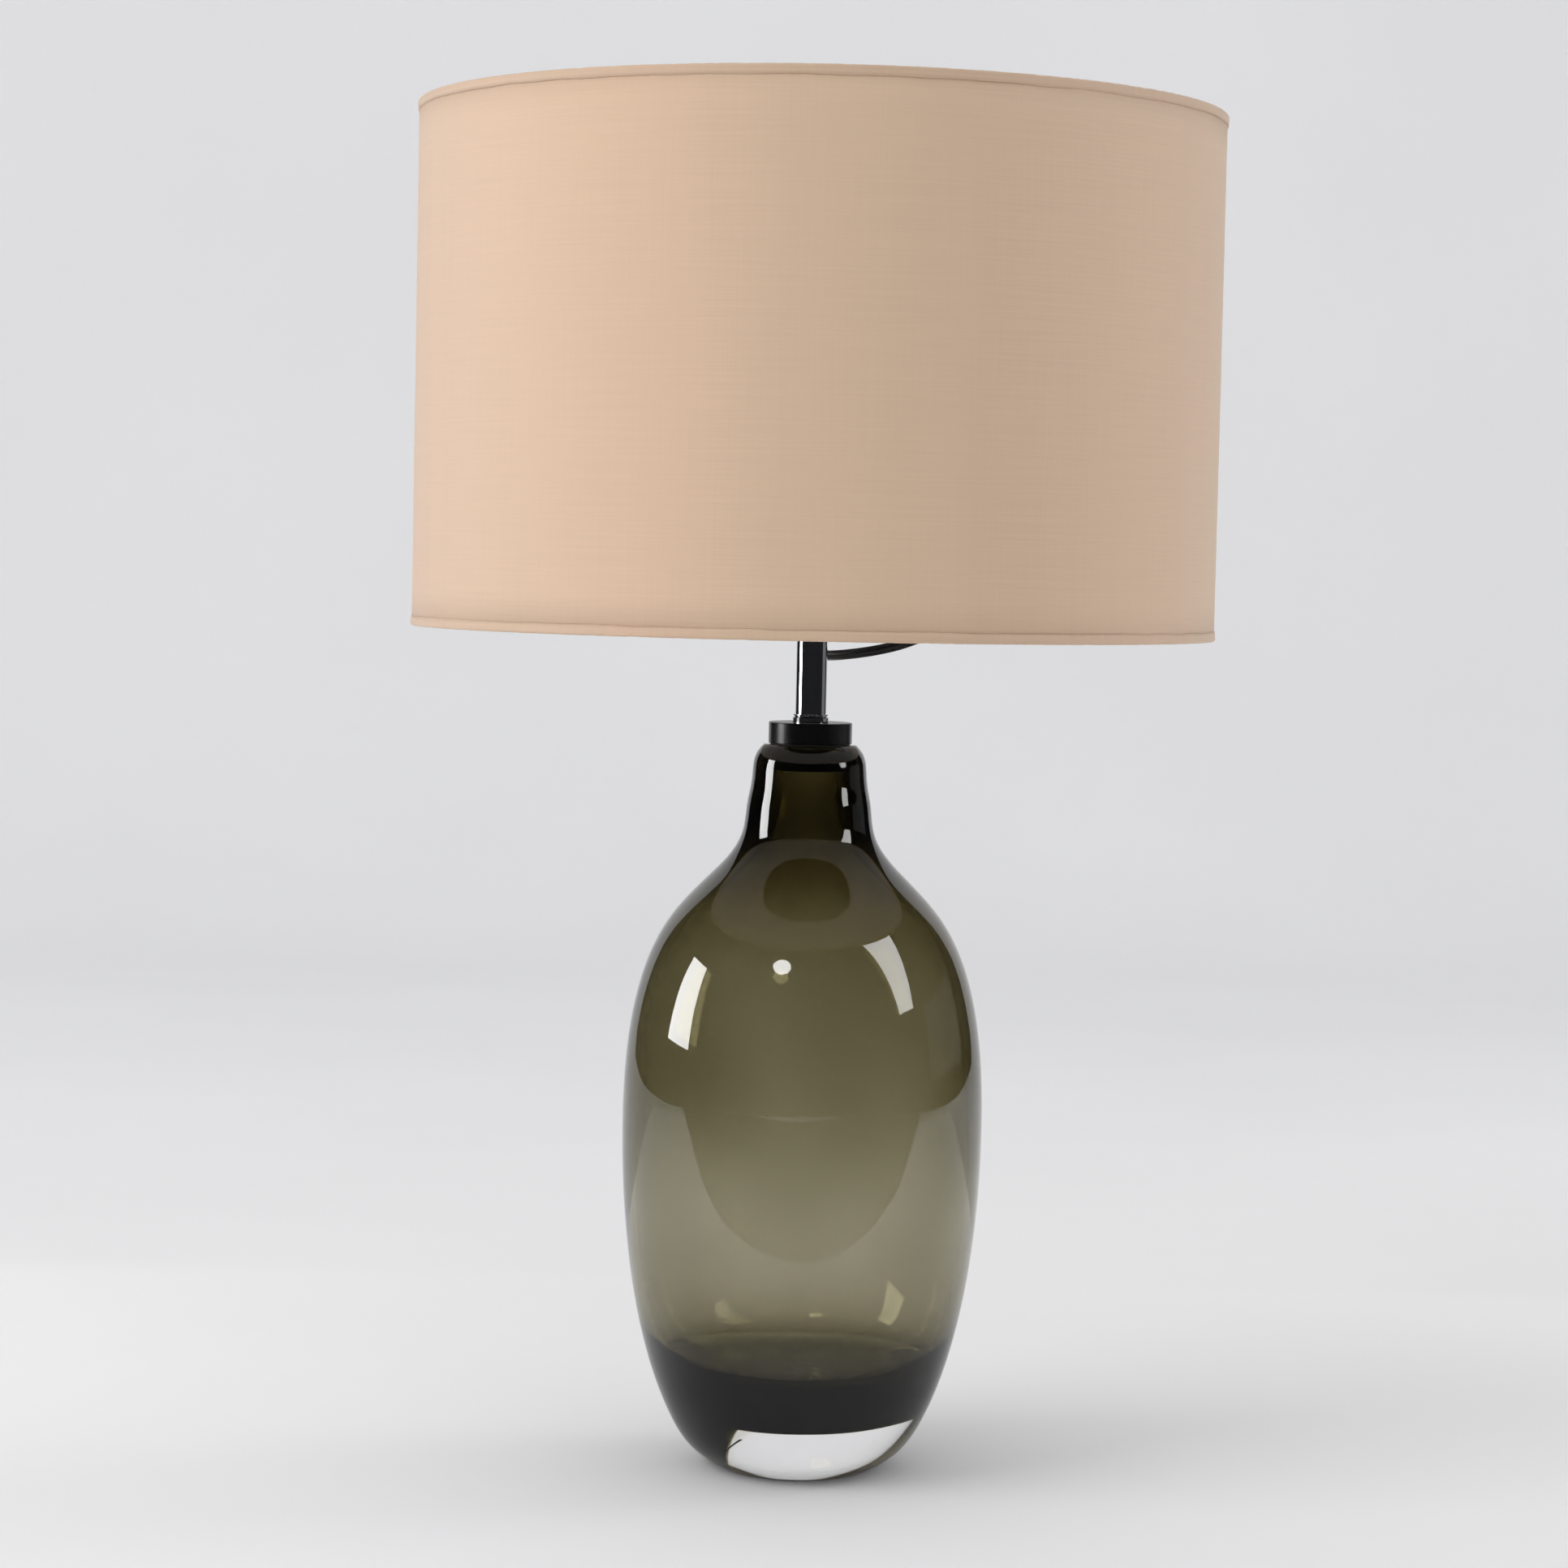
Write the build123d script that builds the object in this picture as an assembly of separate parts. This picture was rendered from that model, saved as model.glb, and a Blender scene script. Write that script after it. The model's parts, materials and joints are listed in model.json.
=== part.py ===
from build123d import *
import math
import os

# Table lamp: a cased glass vessel, a chromed stem with a harp, and a cloth drum shade.
# Millimetres.  +Z is up, the origin is on the standing surface at the vessel's axis,
# +X is to the right and -Y is the front.

os.makedirs("parts", exist_ok=True)

# ---------------------------------------------------------------- driving dimensions
# Glass vessel
vessel_height = 370.0
base_radius = 38.8
toe_radius = 54.0
toe_height = 10.0
heel_radius = 66.0
heel_height = 28.0
lower_radius = 81.6
lower_height = 75.0
belly_radius = 91.8
belly_height = 172.0
upper_radius = 88.0
upper_height = 230.0
shoulder_radius = 70.0
shoulder_drop = 90.0          # below the lip
neck_root_radius = 50.6
neck_root_drop = 68.0
neck_radius = 33.6
neck_drop = 45.0
throat_radius = 30.4
throat_drop = 23.0
lip_radius = 23.6
lip_round = 4.0
body_wall = 7.2
heel_wall = 9.1
shoulder_wall = 10.0
neck_root_wall = 13.4
neck_wall = 15.1
floor_thickness = 52.0
floor_rim = 14.0
corner_rise = 5.0
corner_drop = 7.0
punt_radius = 28.0
punt_depth = 1.2
mouth_radius = 14.0

# Neck fittings
gasket_thickness = 0.5
cap_radius = 21.2
cap_thickness = 10.8
cap_edge = 0.4
plug_length = 14.0
plug_recess_radius = 11.0
plug_recess_depth = 5.5
washer_radius = 10.0
washer_thickness = 1.2
nut_across_flats = 16.0
nut_thickness = 3.5
thread_radius = 4.85          # M10 x 1 lamp pipe
pipe_bore_radius = 3.5

# Stem
ferrule_radius = 9.25
ferrule_height = 4.1
stem_radius = 7.94
stem_length = 59.6
stem_wall = 1.5
stem_end_boss = 12.0
outlet_azimuth = 62.0         # degrees from +X towards +Y
outlet_above_ferrule = 29.6
outlet_hole_radius = 3.6
grommet_flange_radius = 4.2
grommet_flange = 0.8
grommet_length = 3.2

# Harp
saddle_thickness = 1.5
saddle_width = 12.0
harp_foot_x = 24.0
post_radius = 1.6
post_height = 12.0
harp_height = 228.6
harp_wire_radius = 1.6
harp_half_width = 57.0
sleeve_radius = 2.9
sleeve_length = 17.0
seat_radius = 8.0
seat_thickness = 1.5
stud_radius = 3.17            # 1/4 in - 27
stud_length = 13.0

# Lamp socket and bulb
socket_neck_radius = 8.0
socket_neck_height = 6.0
socket_cap_radius = 17.6
socket_cap_height = 20.0
socket_wall = 0.8
socket_shell_radius = 16.6
socket_shell_height = 43.0
shell_overlap = 5.0
insulator_thickness = 0.35
socket_core_radius = 12.6
socket_core_height = 14.0
core_above_cap_foot = 20.0
screw_shell_radius = 13.85
screw_shell_wall = 0.45
screw_shell_height = 23.0
terminal_head_radius = 3.0
terminal_head = 1.8
lead_radius = 1.0
lead_spacing = 1.4
switch_shaft_radius = 1.9
switch_shaft_seat = 6.0
knob_radius = 5.5
knob_length = 13.0
knob_gap = 1.0
bulb_base_radius = 13.1
bulb_base_height = 25.0
bulb_radius = 30.0
bulb_length = 108.0
bulb_glass = 1.0

# Shade
shade_radius = 203.2
shade_height = 261.0
spider_drop = 12.7
hem_thickness = 0.5
hem_height = 5.0
fabric_thickness = 0.6
liner_thickness = 0.8
ring_wire_radius = 1.6
hub_radius = 13.0
hub_thickness = 1.6
arm_radius = 1.5
arm_rise_length = 11.0
finial_height = 22.0
finial_base_radius = 6.5
finial_knob_radius = 8.5

# Supply cord, a flat twin lead
cord_width = 5.2
cord_coil_turns = 4           # in each of the two layers
cord_coil_middle_radius = 31.0
cord_coil_x = 70.0
cord_coil_above_saddle = 47.5
tie_angle = 155.0             # degrees round the coil from +X towards +Z
tie_width = 9.0
tie_thickness = 1.0
plug_body = (24.0, 13.0, 28.0)
plug_relief_length = 22.0
plug_behind_coil = 1.7
plug_neck_radius = 3.4
blade = (1.5, 6.3, 17.0)
blade_spacing = 12.7

# Named clearances
thread_fit = 0.05             # radial, running
loose_fit = 0.3               # radial, slip
glue_line = 0.1
rest_gap = 0.3

# ---------------------------------------------------------------- heights along the axis
cap_foot = vessel_height + gasket_thickness
cap_top = cap_foot + cap_thickness
stem_foot = cap_top + ferrule_height
stem_top = stem_foot + stem_length
saddle_top = stem_top + saddle_thickness
seat_z = stem_top + harp_height
hub_top = seat_z + hub_thickness
shade_top = hub_top + spider_drop
shade_bottom = shade_top - shade_height
outlet_z = stem_foot + outlet_above_ferrule
core_foot = saddle_top + core_above_cap_foot
core_top = core_foot + socket_core_height
bulb_foot = core_top + 1.6

UP = (Align.CENTER, Align.CENTER, Align.MIN)


# ---------------------------------------------------------------- helpers
def rod(radius, foot, height):
    """A cylinder on the lamp's axis."""
    return Pos(0, 0, foot) * Cylinder(radius, height, align=UP)


def tube(outer, inner, foot, height):
    """A plain ring or tube on the lamp's axis."""
    return rod(outer, foot, height) - rod(inner, foot - 1, height + 2)


def turned(edges):
    """A closed outline of radius and height, turned about the lamp's axis."""
    return revolve(Plane.XZ * make_face(edges), Axis.Z)


def turned_points(*points):
    """The same, for an outline of straight lines."""
    return turned([Polyline(*points, close=True)])


def along(azimuth, radius, z):
    """A point at a radius from the axis, at an azimuth in degrees."""
    a = math.radians(azimuth)
    return Vector(radius * math.cos(a), radius * math.sin(a), z)


def corner_radii(points):
    """Arc radii for a bent path: 0.45 of the shorter run over the tangent of half the turn."""
    radii = []
    for before, here, after in zip(points, points[1:], points[2:]):
        run_in = here - before
        run_out = after - here
        half_turn = math.radians(run_in.get_angle(run_out)) / 2
        radii.append(0.45 * min(run_in.length, run_out.length) / math.tan(half_turn))
    return radii


def bent_rod(points, radii, radius):
    """A round rod that follows straight runs joined by tangent arcs."""
    path = FilletPolyline(*points, radius=radii)
    start = path @ 0
    section = Plane(origin=start, z_dir=path % 0) * Circle(radius)
    return sweep(section, path=path), path.length


NODES = {}


def keep(name, shape):
    """Puts a finished piece under its node name."""
    shape.label = name
    NODES[name] = shape
    return shape


# ---------------------------------------------------------------- glass vessel
def outer_outline():
    """Radius and height of the vessel's outside, from the base to the lip."""
    return [
        (base_radius, 0),
        (toe_radius, toe_height),
        (heel_radius, heel_height),
        (lower_radius, lower_height),
        (belly_radius, belly_height),
        (upper_radius, upper_height),
        (shoulder_radius, vessel_height - shoulder_drop),
        (neck_root_radius, vessel_height - neck_root_drop),
        (neck_radius, vessel_height - neck_drop),
        (throat_radius, vessel_height - throat_drop),
        (lip_radius + lip_round * 0.8, vessel_height - lip_round),
    ]


def inner_outline():
    """Radius and height of the cavity, from its floor's centre to the mouth."""
    return [
        (0, floor_thickness),
        (heel_radius - floor_rim, floor_thickness + corner_rise / 10),
        (heel_radius, floor_thickness + corner_rise),
        (lower_radius - heel_wall, lower_height - corner_drop),
        (belly_radius - body_wall, belly_height),
        (upper_radius - body_wall, upper_height),
        (shoulder_radius - shoulder_wall, vessel_height - shoulder_drop),
        (neck_root_radius - neck_root_wall, vessel_height - neck_root_drop),
        (neck_radius - neck_wall, vessel_height - neck_drop),
        (mouth_radius, vessel_height - throat_drop),
    ]


def glass_vessel():
    outline = outer_outline()
    side = Spline(*outline, tangents=[(1, 0.4), (-0.35, 1)], tangent_scalars=[1, 1])
    lip = Spline(outline[-1], (lip_radius, vessel_height), tangents=[(-0.35, 1), (-1, 0)])
    ground_edge = base_radius - punt_radius
    edges = [
        Polyline((0, punt_depth), (punt_radius, punt_depth), (punt_radius + ground_edge / 3, 0),
                 (base_radius, 0)),
        side,
        lip,
        Polyline((lip_radius, vessel_height), (0, vessel_height), (0, punt_depth)),
    ]
    blank = turned(edges)
    hollow = inner_outline()
    wall = Spline(*hollow, tangents=[(1, 0), (-0.05, 1)], tangent_scalars=[1, 1])
    mouth = hollow[-1]
    cavity = turned([
        wall,
        Polyline(mouth, (mouth[0], vessel_height + 1), (0, vessel_height + 1), (0, floor_thickness)),
    ])
    return blank - cavity


# ---------------------------------------------------------------- neck fittings
def neck_gasket():
    return tube(cap_radius - 1, mouth_radius + 1, vessel_height, gasket_thickness)


def neck_cap():
    disc = tube(cap_radius, thread_radius + thread_fit, cap_foot, cap_thickness)
    rims = disc.edges().filter_by(GeomType.CIRCLE).group_by(SortBy.RADIUS)[-1]
    return chamfer(rims, cap_edge)


def neck_plug():
    foot = cap_foot - plug_length
    body = rod(mouth_radius - loose_fit, foot, plug_length)
    body -= rod(thread_radius + thread_fit, foot - 1, plug_length + 2)
    return body - rod(plug_recess_radius, foot - 1, plug_recess_depth + 1)


def clamp_washer():
    top = cap_foot - plug_length + plug_recess_depth
    return tube(washer_radius, thread_radius + thread_fit, top - washer_thickness, washer_thickness)


def clamp_nut():
    top = cap_foot - plug_length + plug_recess_depth - washer_thickness
    outline = RegularPolygon(nut_across_flats / 2, 6, major_radius=False)
    blank = extrude(outline, nut_thickness)
    return Pos(0, 0, top - nut_thickness) * blank - rod(thread_radius + thread_fit, top - 20, 40)


def lower_nipple():
    foot = cap_foot - plug_length - 1
    top = stem_foot + stem_end_boss - 1
    return tube(thread_radius, pipe_bore_radius, foot, top - foot)


# ---------------------------------------------------------------- stem
def stem_ferrule():
    inner = thread_radius + thread_fit
    groove = stem_foot - 0.9
    waist = ferrule_radius - 0.8
    return turned_points(
        (inner, cap_top), (ferrule_radius - 0.4, cap_top), (ferrule_radius, cap_top + 0.4),
        (ferrule_radius, groove - 0.9), (waist, groove - 0.4), (waist, groove),
        (ferrule_radius - 0.3, groove + 0.3), (ferrule_radius - 0.3, stem_foot - 0.2),
        (ferrule_radius - 0.5, stem_foot), (inner, stem_foot))


def outlet_drill(radius):
    """A cylinder along the cord outlet, from the axis outward."""
    direction = along(outlet_azimuth, 1, 0)
    return Plane(origin=(0, 0, outlet_z), z_dir=direction) * Cylinder(radius, 30, align=UP)


def stem_tube():
    body = rod(stem_radius, stem_foot, stem_length)
    body -= rod(thread_radius + thread_fit, stem_foot - 1, stem_length + 2)
    middle = stem_length - 2 * stem_end_boss
    body -= rod(stem_radius - stem_wall, stem_foot + stem_end_boss, middle)
    return body - outlet_drill(outlet_hole_radius)


def outlet_grommet():
    """A flanged bush in the stem's side hole; its flange's inside hugs the stem."""
    direction = along(outlet_azimuth, 1, 0)
    face = stem_radius + grommet_flange
    frame = Plane(origin=(0, 0, outlet_z), z_dir=direction)
    sleeve = frame * Pos(0, 0, face - grommet_length)
    barrel = sleeve * Cylinder(outlet_hole_radius - glue_line, grommet_length, align=UP)
    flange = frame * Pos(0, 0, stem_radius - 3) * Cylinder(grommet_flange_radius, 3 + grommet_flange,
                                                          align=UP)
    flange -= rod(stem_radius + glue_line / 2, stem_foot, stem_length)
    return barrel + flange - outlet_drill(cord_width / 2 + glue_line)


def upper_nipple():
    foot = stem_top - stem_end_boss + 1
    top = saddle_top + socket_neck_height
    return tube(thread_radius, pipe_bore_radius, foot, top - foot)


# ---------------------------------------------------------------- harp
def harp_saddle():
    length = 2 * (harp_foot_x + post_radius + 1)
    bar = Pos(0, 0, stem_top) * Box(length, saddle_width, saddle_thickness, align=UP)
    bar = fillet(bar.edges().filter_by(Axis.Z), 3)
    bar -= rod(thread_radius + thread_fit, stem_top - 1, saddle_thickness + 2)
    for side in (-1, 1):
        bar += Pos(side * harp_foot_x, 0, 0) * rod(post_radius, saddle_top, post_height)
    return bar


def harp_frame():
    foot = saddle_top + post_height + glue_line
    top = seat_z - seat_thickness - harp_wire_radius
    shoulder = top - 41
    right = [(harp_foot_x, foot), (harp_foot_x, foot + 27), (harp_half_width, foot + 91),
             (harp_half_width, shoulder), (harp_half_width / 2, top)]
    left = [(-x, z) for x, z in reversed(right)]
    points = [Vector(x, 0, z) for x, z in right + left]
    bends = [40, 60, 55, 26]
    wire, _ = bent_rod(points, bends + bends[::-1], harp_wire_radius)
    return wire


def harp_stud():
    seat = rod(seat_radius, seat_z - seat_thickness, seat_thickness)
    return seat + rod(stud_radius, seat_z, stud_length)


def harp_sleeve(side):
    bore = max(post_radius, harp_wire_radius) + loose_fit
    return Pos(side * harp_foot_x, 0, 0) * tube(sleeve_radius, bore, saddle_top, sleeve_length)


# ---------------------------------------------------------------- lamp socket
def socket_cap():
    foot = saddle_top
    bore = thread_radius + thread_fit
    rim = foot + socket_cap_height
    neck_top = foot + socket_neck_height
    r, w = socket_cap_radius, socket_wall
    return turned_points(
        (bore, foot), (socket_neck_radius, foot), (socket_neck_radius, neck_top),
        (r - 4, neck_top + 3), (r, neck_top + 7), (r, rim),
        (r - w, rim), (r - w, neck_top + 7 + w / 2), (r - 4 - w / 2, neck_top + 3 + w),
        (bore, neck_top + w))


def shell_foot():
    return saddle_top + socket_cap_height - shell_overlap


def switch_drill(radius, length=40):
    """A cylinder on the switch's axis, from the lamp's axis to the front."""
    z = core_foot + socket_core_height / 2
    return Plane(origin=(0, 0, z), z_dir=(0, -1, 0)) * Cylinder(radius, length, align=UP)


def socket_shell():
    inner = socket_shell_radius - socket_wall
    shell = tube(socket_shell_radius, inner, shell_foot(), socket_shell_height)
    return shell - switch_drill(switch_shaft_radius + 0.8)


def socket_insulator():
    outer = socket_shell_radius - socket_wall - glue_line
    foot = shell_foot() + 1
    liner = tube(outer, outer - insulator_thickness, foot, socket_shell_height - 2)
    return liner - switch_drill(switch_shaft_radius + 0.8)


def socket_core():
    """The moulded block that carries the switch, the terminals and the screw shell."""
    body = rod(socket_core_radius, core_foot, socket_core_height)
    flange = tube(screw_shell_radius + 0.9, 4, core_top - 2.5, 2.5)
    body += flange
    bore = switch_drill(switch_shaft_radius + thread_fit)
    bore &= Pos(0, -socket_core_radius, core_foot) * Box(40, 2 * switch_shaft_seat, 40, align=UP)
    return body - bore


def socket_screw_shell():
    inner = screw_shell_radius - screw_shell_wall
    wall = tube(screw_shell_radius, inner, core_top, screw_shell_height)
    rim = tube(screw_shell_radius, 7.5, core_top, screw_shell_wall)
    return wall + rim


def socket_centre_contact():
    return rod(4.5, core_top, 1.0)


def terminal_screws():
    """One screw each side, square to the cord outlet."""
    z = core_foot + socket_core_height / 2
    heads = []
    for turn in (90, -90):
        direction = along(outlet_azimuth + turn, 1, 0)
        seat = Plane(origin=along(outlet_azimuth + turn, socket_core_radius, z), z_dir=direction)
        head = seat * Cylinder(terminal_head_radius, terminal_head, align=UP)
        slot = seat * Pos(0, 0, terminal_head) * Box(2 * terminal_head_radius, 0.8, 1.2)
        heads.append(head - slot)
    return Compound(children=heads)


def inner_leads():
    """The two insulated conductors from the outlet up to the terminal screws."""
    inward = along(outlet_azimuth, cord_inner_end, 0)
    screw_z = core_foot + socket_core_height / 2 - terminal_head_radius
    leads = []
    for turn in (90, -90):
        near = along(outlet_azimuth + turn, lead_spacing, 0)
        far = along(outlet_azimuth + turn, socket_core_radius + lead_radius + 0.1, 0)
        points = [
            Vector(near.X + inward.X, near.Y + inward.Y, outlet_z),
            Vector(near.X, near.Y, outlet_z),
            Vector(near.X, near.Y, saddle_top + socket_neck_height + 3),
            Vector(far.X, far.Y, core_foot - 4),
            Vector(far.X, far.Y, screw_z),
        ]
        lead, _ = bent_rod(points, [2.5, 2.5, 2.5], lead_radius)
        leads.append(lead)
    return Compound(children=leads)


def switch_face():
    """How far in front of the axis the knob's inner face stands."""
    return socket_shell_radius + knob_gap


def switch_shaft():
    start = socket_core_radius - switch_shaft_seat + rest_gap
    frame = switch_drill(switch_shaft_radius, switch_face() + knob_length - 4)
    return frame - switch_drill(switch_shaft_radius + 1, start)


def switch_knob():
    """A fluted turn knob, pressed on the shaft."""
    z = core_foot + socket_core_height / 2
    frame = Plane(origin=(0, -switch_face(), z), z_dir=(0, -1, 0))
    knob = frame * Cylinder(knob_radius, knob_length, align=UP)
    rim = knob.edges().filter_by(GeomType.CIRCLE).sort_by(Axis.Y)[0]
    knob = fillet(rim, 1.5)
    for k in range(12):
        flute = Rot(0, 0, 30 * k) * Pos(knob_radius + 0.5, 0, 0) * Cylinder(1.0, 2 * knob_length)
        knob -= frame * flute
    return knob - switch_drill(switch_shaft_radius, switch_face() + knob_length - 4)


# ---------------------------------------------------------------- bulb
def bulb_base():
    foot = bulb_foot + 3
    shell = rod(bulb_base_radius, foot, bulb_base_height - 3)
    cone = Pos(0, 0, bulb_foot + 1.6) * Cone(6, 10, 1.4, align=UP)
    return shell + cone - rod(bulb_base_radius - 0.6, foot + 2, bulb_base_height)


def bulb_contact():
    return rod(3.5, bulb_foot + 0.3 - rest_gap, 1.6)


def bulb_globe():
    """A pear-shaped glass envelope, set in the base."""
    foot = bulb_foot + bulb_base_height - 8
    neck = bulb_base_radius - 0.6 - glue_line
    top = bulb_foot + bulb_length
    centre = top - bulb_radius
    skin = Spline((neck + 0.4, foot + 9), (20, centre - 32), (bulb_radius, centre),
                  tangents=[(0.1, 1), (0, 1)], tangent_scalars=[1, 1])
    crown = Spline((bulb_radius, centre), (0, top), tangents=[(0, 1), (-1, 0)],
                   tangent_scalars=[1.1, 1.1])
    base = Polyline((0, top), (0, foot), (neck, foot), (neck, foot + 8.2), (neck + 0.4, foot + 9))
    solid = turned([skin, crown, base])
    t = bulb_glass
    skin = Spline((neck - t, foot + 9), (20 - t, centre - 32), (bulb_radius - t, centre),
                  tangents=[(0.1, 1), (0, 1)], tangent_scalars=[1, 1])
    crown = Spline((bulb_radius - t, centre), (0, top - t), tangents=[(0, 1), (-1, 0)],
                   tangent_scalars=[1.1, 1.1])
    base = Polyline((0, top - t), (0, foot + t), (neck - t, foot + t), (neck - t, foot + 9))
    return solid - turned([skin, crown, base])


# ---------------------------------------------------------------- shade
fabric_outer = shade_radius - hem_thickness - glue_line
liner_outer = fabric_outer - fabric_thickness - glue_line
ring_radius = liner_outer - liner_thickness - glue_line - ring_wire_radius
hem_inner = ring_radius - ring_wire_radius - glue_line - hem_thickness
skin_inset = hem_thickness + glue_line
ring_inset = skin_inset + ring_wire_radius
arm_azimuths = {"rear": 90, "left": 210, "right": 330}


def wire_ring(z):
    return Pos(0, 0, z) * Torus(ring_radius, ring_wire_radius)


def skin(outer, thickness):
    """A rolled cylinder of cloth or liner between the two hems."""
    foot = shade_bottom + skin_inset
    return tube(outer, outer - thickness, foot, shade_height - 2 * skin_inset)


def hem(edge_z, inward):
    """A turned-over strip that wraps the shade's edge and its wire ring.

    inward is -1 for the top edge, where the strip runs down, and 1 for the bottom edge.
    """
    t = hem_thickness
    depth = 2 * ring_wire_radius + 1.2
    return turned_points(
        (hem_inner, edge_z + inward * depth), (hem_inner, edge_z + inward * 1.0),
        (hem_inner + 1.0, edge_z), (shade_radius - 0.5, edge_z), (shade_radius, edge_z + inward * 0.5),
        (shade_radius, edge_z + inward * hem_height), (shade_radius - t, edge_z + inward * hem_height),
        (shade_radius - t, edge_z + inward * t), (hem_inner + t, edge_z + inward * t),
        (hem_inner + t, edge_z + inward * depth))


def shade_top_hem():
    """The top strip, slit where the three arms reach the ring."""
    strip = hem(shade_top, -1)
    for azimuth in arm_azimuths.values():
        slit = Pos(hem_inner, 0, shade_top - 4.5) * Box(3 * hem_thickness, 2 * arm_radius + 1, 8)
        strip -= Rot(0, 0, azimuth) * slit
    return strip


def spider_hub():
    return tube(hub_radius, stud_radius + loose_fit, seat_z, hub_thickness)


def spider_arm(azimuth):
    """A wire from the hub to the ring, cranked up near its end."""
    hub_z = seat_z + hub_thickness / 2
    ring_z = shade_top - ring_inset
    end = ring_radius - ring_wire_radius
    crank = end - 6
    points = [Vector(hub_radius, 0, hub_z), Vector(crank - arm_rise_length, 0, hub_z),
              Vector(crank, 0, ring_z), Vector(end, 0, ring_z)]
    wire, _ = bent_rod(points, [6, 5], arm_radius)
    return Rot(0, 0, azimuth) * wire


def finial():
    """A turned finial that screws down on the stud and clamps the hub."""
    foot = hub_top
    b, k = finial_base_radius, finial_knob_radius
    knob_z = foot + finial_height - k
    edges = [
        Polyline((0, foot), (b, foot), (b, foot + 2), (b - 2.2, foot + 3.4)),
        Spline((b - 2.2, foot + 3.4), (k, knob_z), tangents=[(0.3, 1), (0, 1)]),
        Spline((k, knob_z), (0, foot + finial_height), tangents=[(0, 1), (-1, 0)],
               tangent_scalars=[1.2, 1.2]),
        Line((0, foot + finial_height), (0, foot)),
    ]
    depth = stud_length - hub_thickness + 0.5
    return turned(edges) - rod(stud_radius + thread_fit, foot - 1, depth + 1)


# ---------------------------------------------------------------- supply cord
cord_inner_end = 4.8
coil_half_section = cord_coil_turns * cord_width / 2
coil_outer = cord_coil_middle_radius + coil_half_section
coil_inner = cord_coil_middle_radius - coil_half_section
coil_front = harp_wire_radius + rest_gap
coil_z = saddle_top + cord_coil_above_saddle
coil_layers = (coil_front + cord_width / 2, coil_front + 1.5 * cord_width)
plug_x = 41.6
plug_y = coil_front + 2 * cord_width + plug_behind_coil + plug_body[1] / 2
plug_top = coil_z + 5


def coil_point(angle, radius, y):
    """A point on the coil, whose plane is upright and runs along X."""
    a = math.radians(angle)
    return Vector(cord_coil_x + radius * math.cos(a), y, coil_z + radius * math.sin(a))


def cord_route():
    """From inside the stem, out behind it to the right, and up into the coil."""
    start = along(outlet_azimuth, cord_inner_end, outlet_z)
    straight = along(outlet_azimuth, cord_inner_end + 8.6, outlet_z)
    free = [(12.6, 18.0, 0.0), (22.2, 21.8, 1.0), (34.0, 22.4, 3.0), (47.0, 20.6, 6.4),
            (60.0, 17.0, 12.2), (73.0, 12.4, 20.6), (84.5, 8.2, 31.2)]
    tangent = coil_point(-40, coil_outer - cord_width / 2, coil_layers[0])
    lead_in = tangent + Vector(-0.643, 0, -0.766) * 12.5
    middle = [Vector(x, y, outlet_z + rise) for x, y, rise in free]
    return [start, straight] + middle + [lead_in, tangent]


def tail_route():
    """From the top of the coil, over its rear face and down to the plug."""
    tangent = coil_point(100, coil_outer - cord_width / 2, coil_layers[1])
    free = [(54.6, 11.2, 36.4), (46.4, 14.2, 30.0), (42.4, 17.8, 21.0)]
    down = Vector(plug_x, plug_y, plug_top + 7)
    end = Vector(plug_x, plug_y, plug_top)
    return [tangent] + [Vector(x, y, coil_z + rise) for x, y, rise in free] + [down, end]


def cord_tube(name, points):
    radii = corner_radii(points)
    shape, length = bent_rod(points, radii, cord_width / 2)
    expected = math.pi * (cord_width / 2) ** 2 * length
    print(name, "length", round(length, 1), "radii", [round(r, 1) for r in radii],
          "volume ratio", round(shape.volume / expected, 4))
    return shape


def cord_coil():
    """The outer shape of the wound cord: a flat ring with rounded edges."""
    depth = 2 * cord_width
    ring = Cylinder(coil_outer, depth) - Cylinder(coil_inner, depth + 2)
    ring = fillet(ring.edges().filter_by(GeomType.CIRCLE), cord_width / 2 - 0.1)
    return Pos(cord_coil_x, coil_front + depth / 2, coil_z) * Rot(90, 0, 0) * ring


def cord_tie():
    """A strap round the coil's section and the harp's leg in front of it."""
    gap = rest_gap
    inner_sag = coil_inner - math.sqrt(coil_inner ** 2 - (tie_width / 2) ** 2)
    radial = coil_outer - coil_inner + 2 * gap + inner_sag
    front = -harp_wire_radius - gap
    rear = coil_front + 2 * cord_width + gap
    middle = coil_point(tie_angle, cord_coil_middle_radius - inner_sag / 2, (front + rear) / 2)
    a = math.radians(tie_angle)
    radial_dir = Vector(math.cos(a), 0, math.sin(a))
    tangent = Vector(-math.sin(a), 0, math.cos(a))
    plane = Plane(origin=middle, x_dir=radial_dir, z_dir=tangent)
    window = RectangleRounded(radial, rear - front, 2.5)
    strap = RectangleRounded(radial + 2 * tie_thickness, rear - front + 2 * tie_thickness, 3.5)
    return extrude(plane * (strap - window), tie_width / 2, both=True)


def plug_moulding():
    """The plug's body with the tapered relief that the cord comes out of."""
    width, depth, height = plug_body
    top = plug_top - plug_relief_length
    body = Pos(plug_x, plug_y, top - height) * Box(width, depth, height, align=UP)
    body = fillet(body.edges().filter_by(Axis.Z), 4.5)
    body = fillet(body.faces().sort_by(Axis.Z)[-1].edges(), 2)
    relief = Pos(plug_x, plug_y, top - 0.5) * Cone(5.6, plug_neck_radius, plug_relief_length + 0.5,
                                                  align=UP)
    return body + relief


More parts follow.
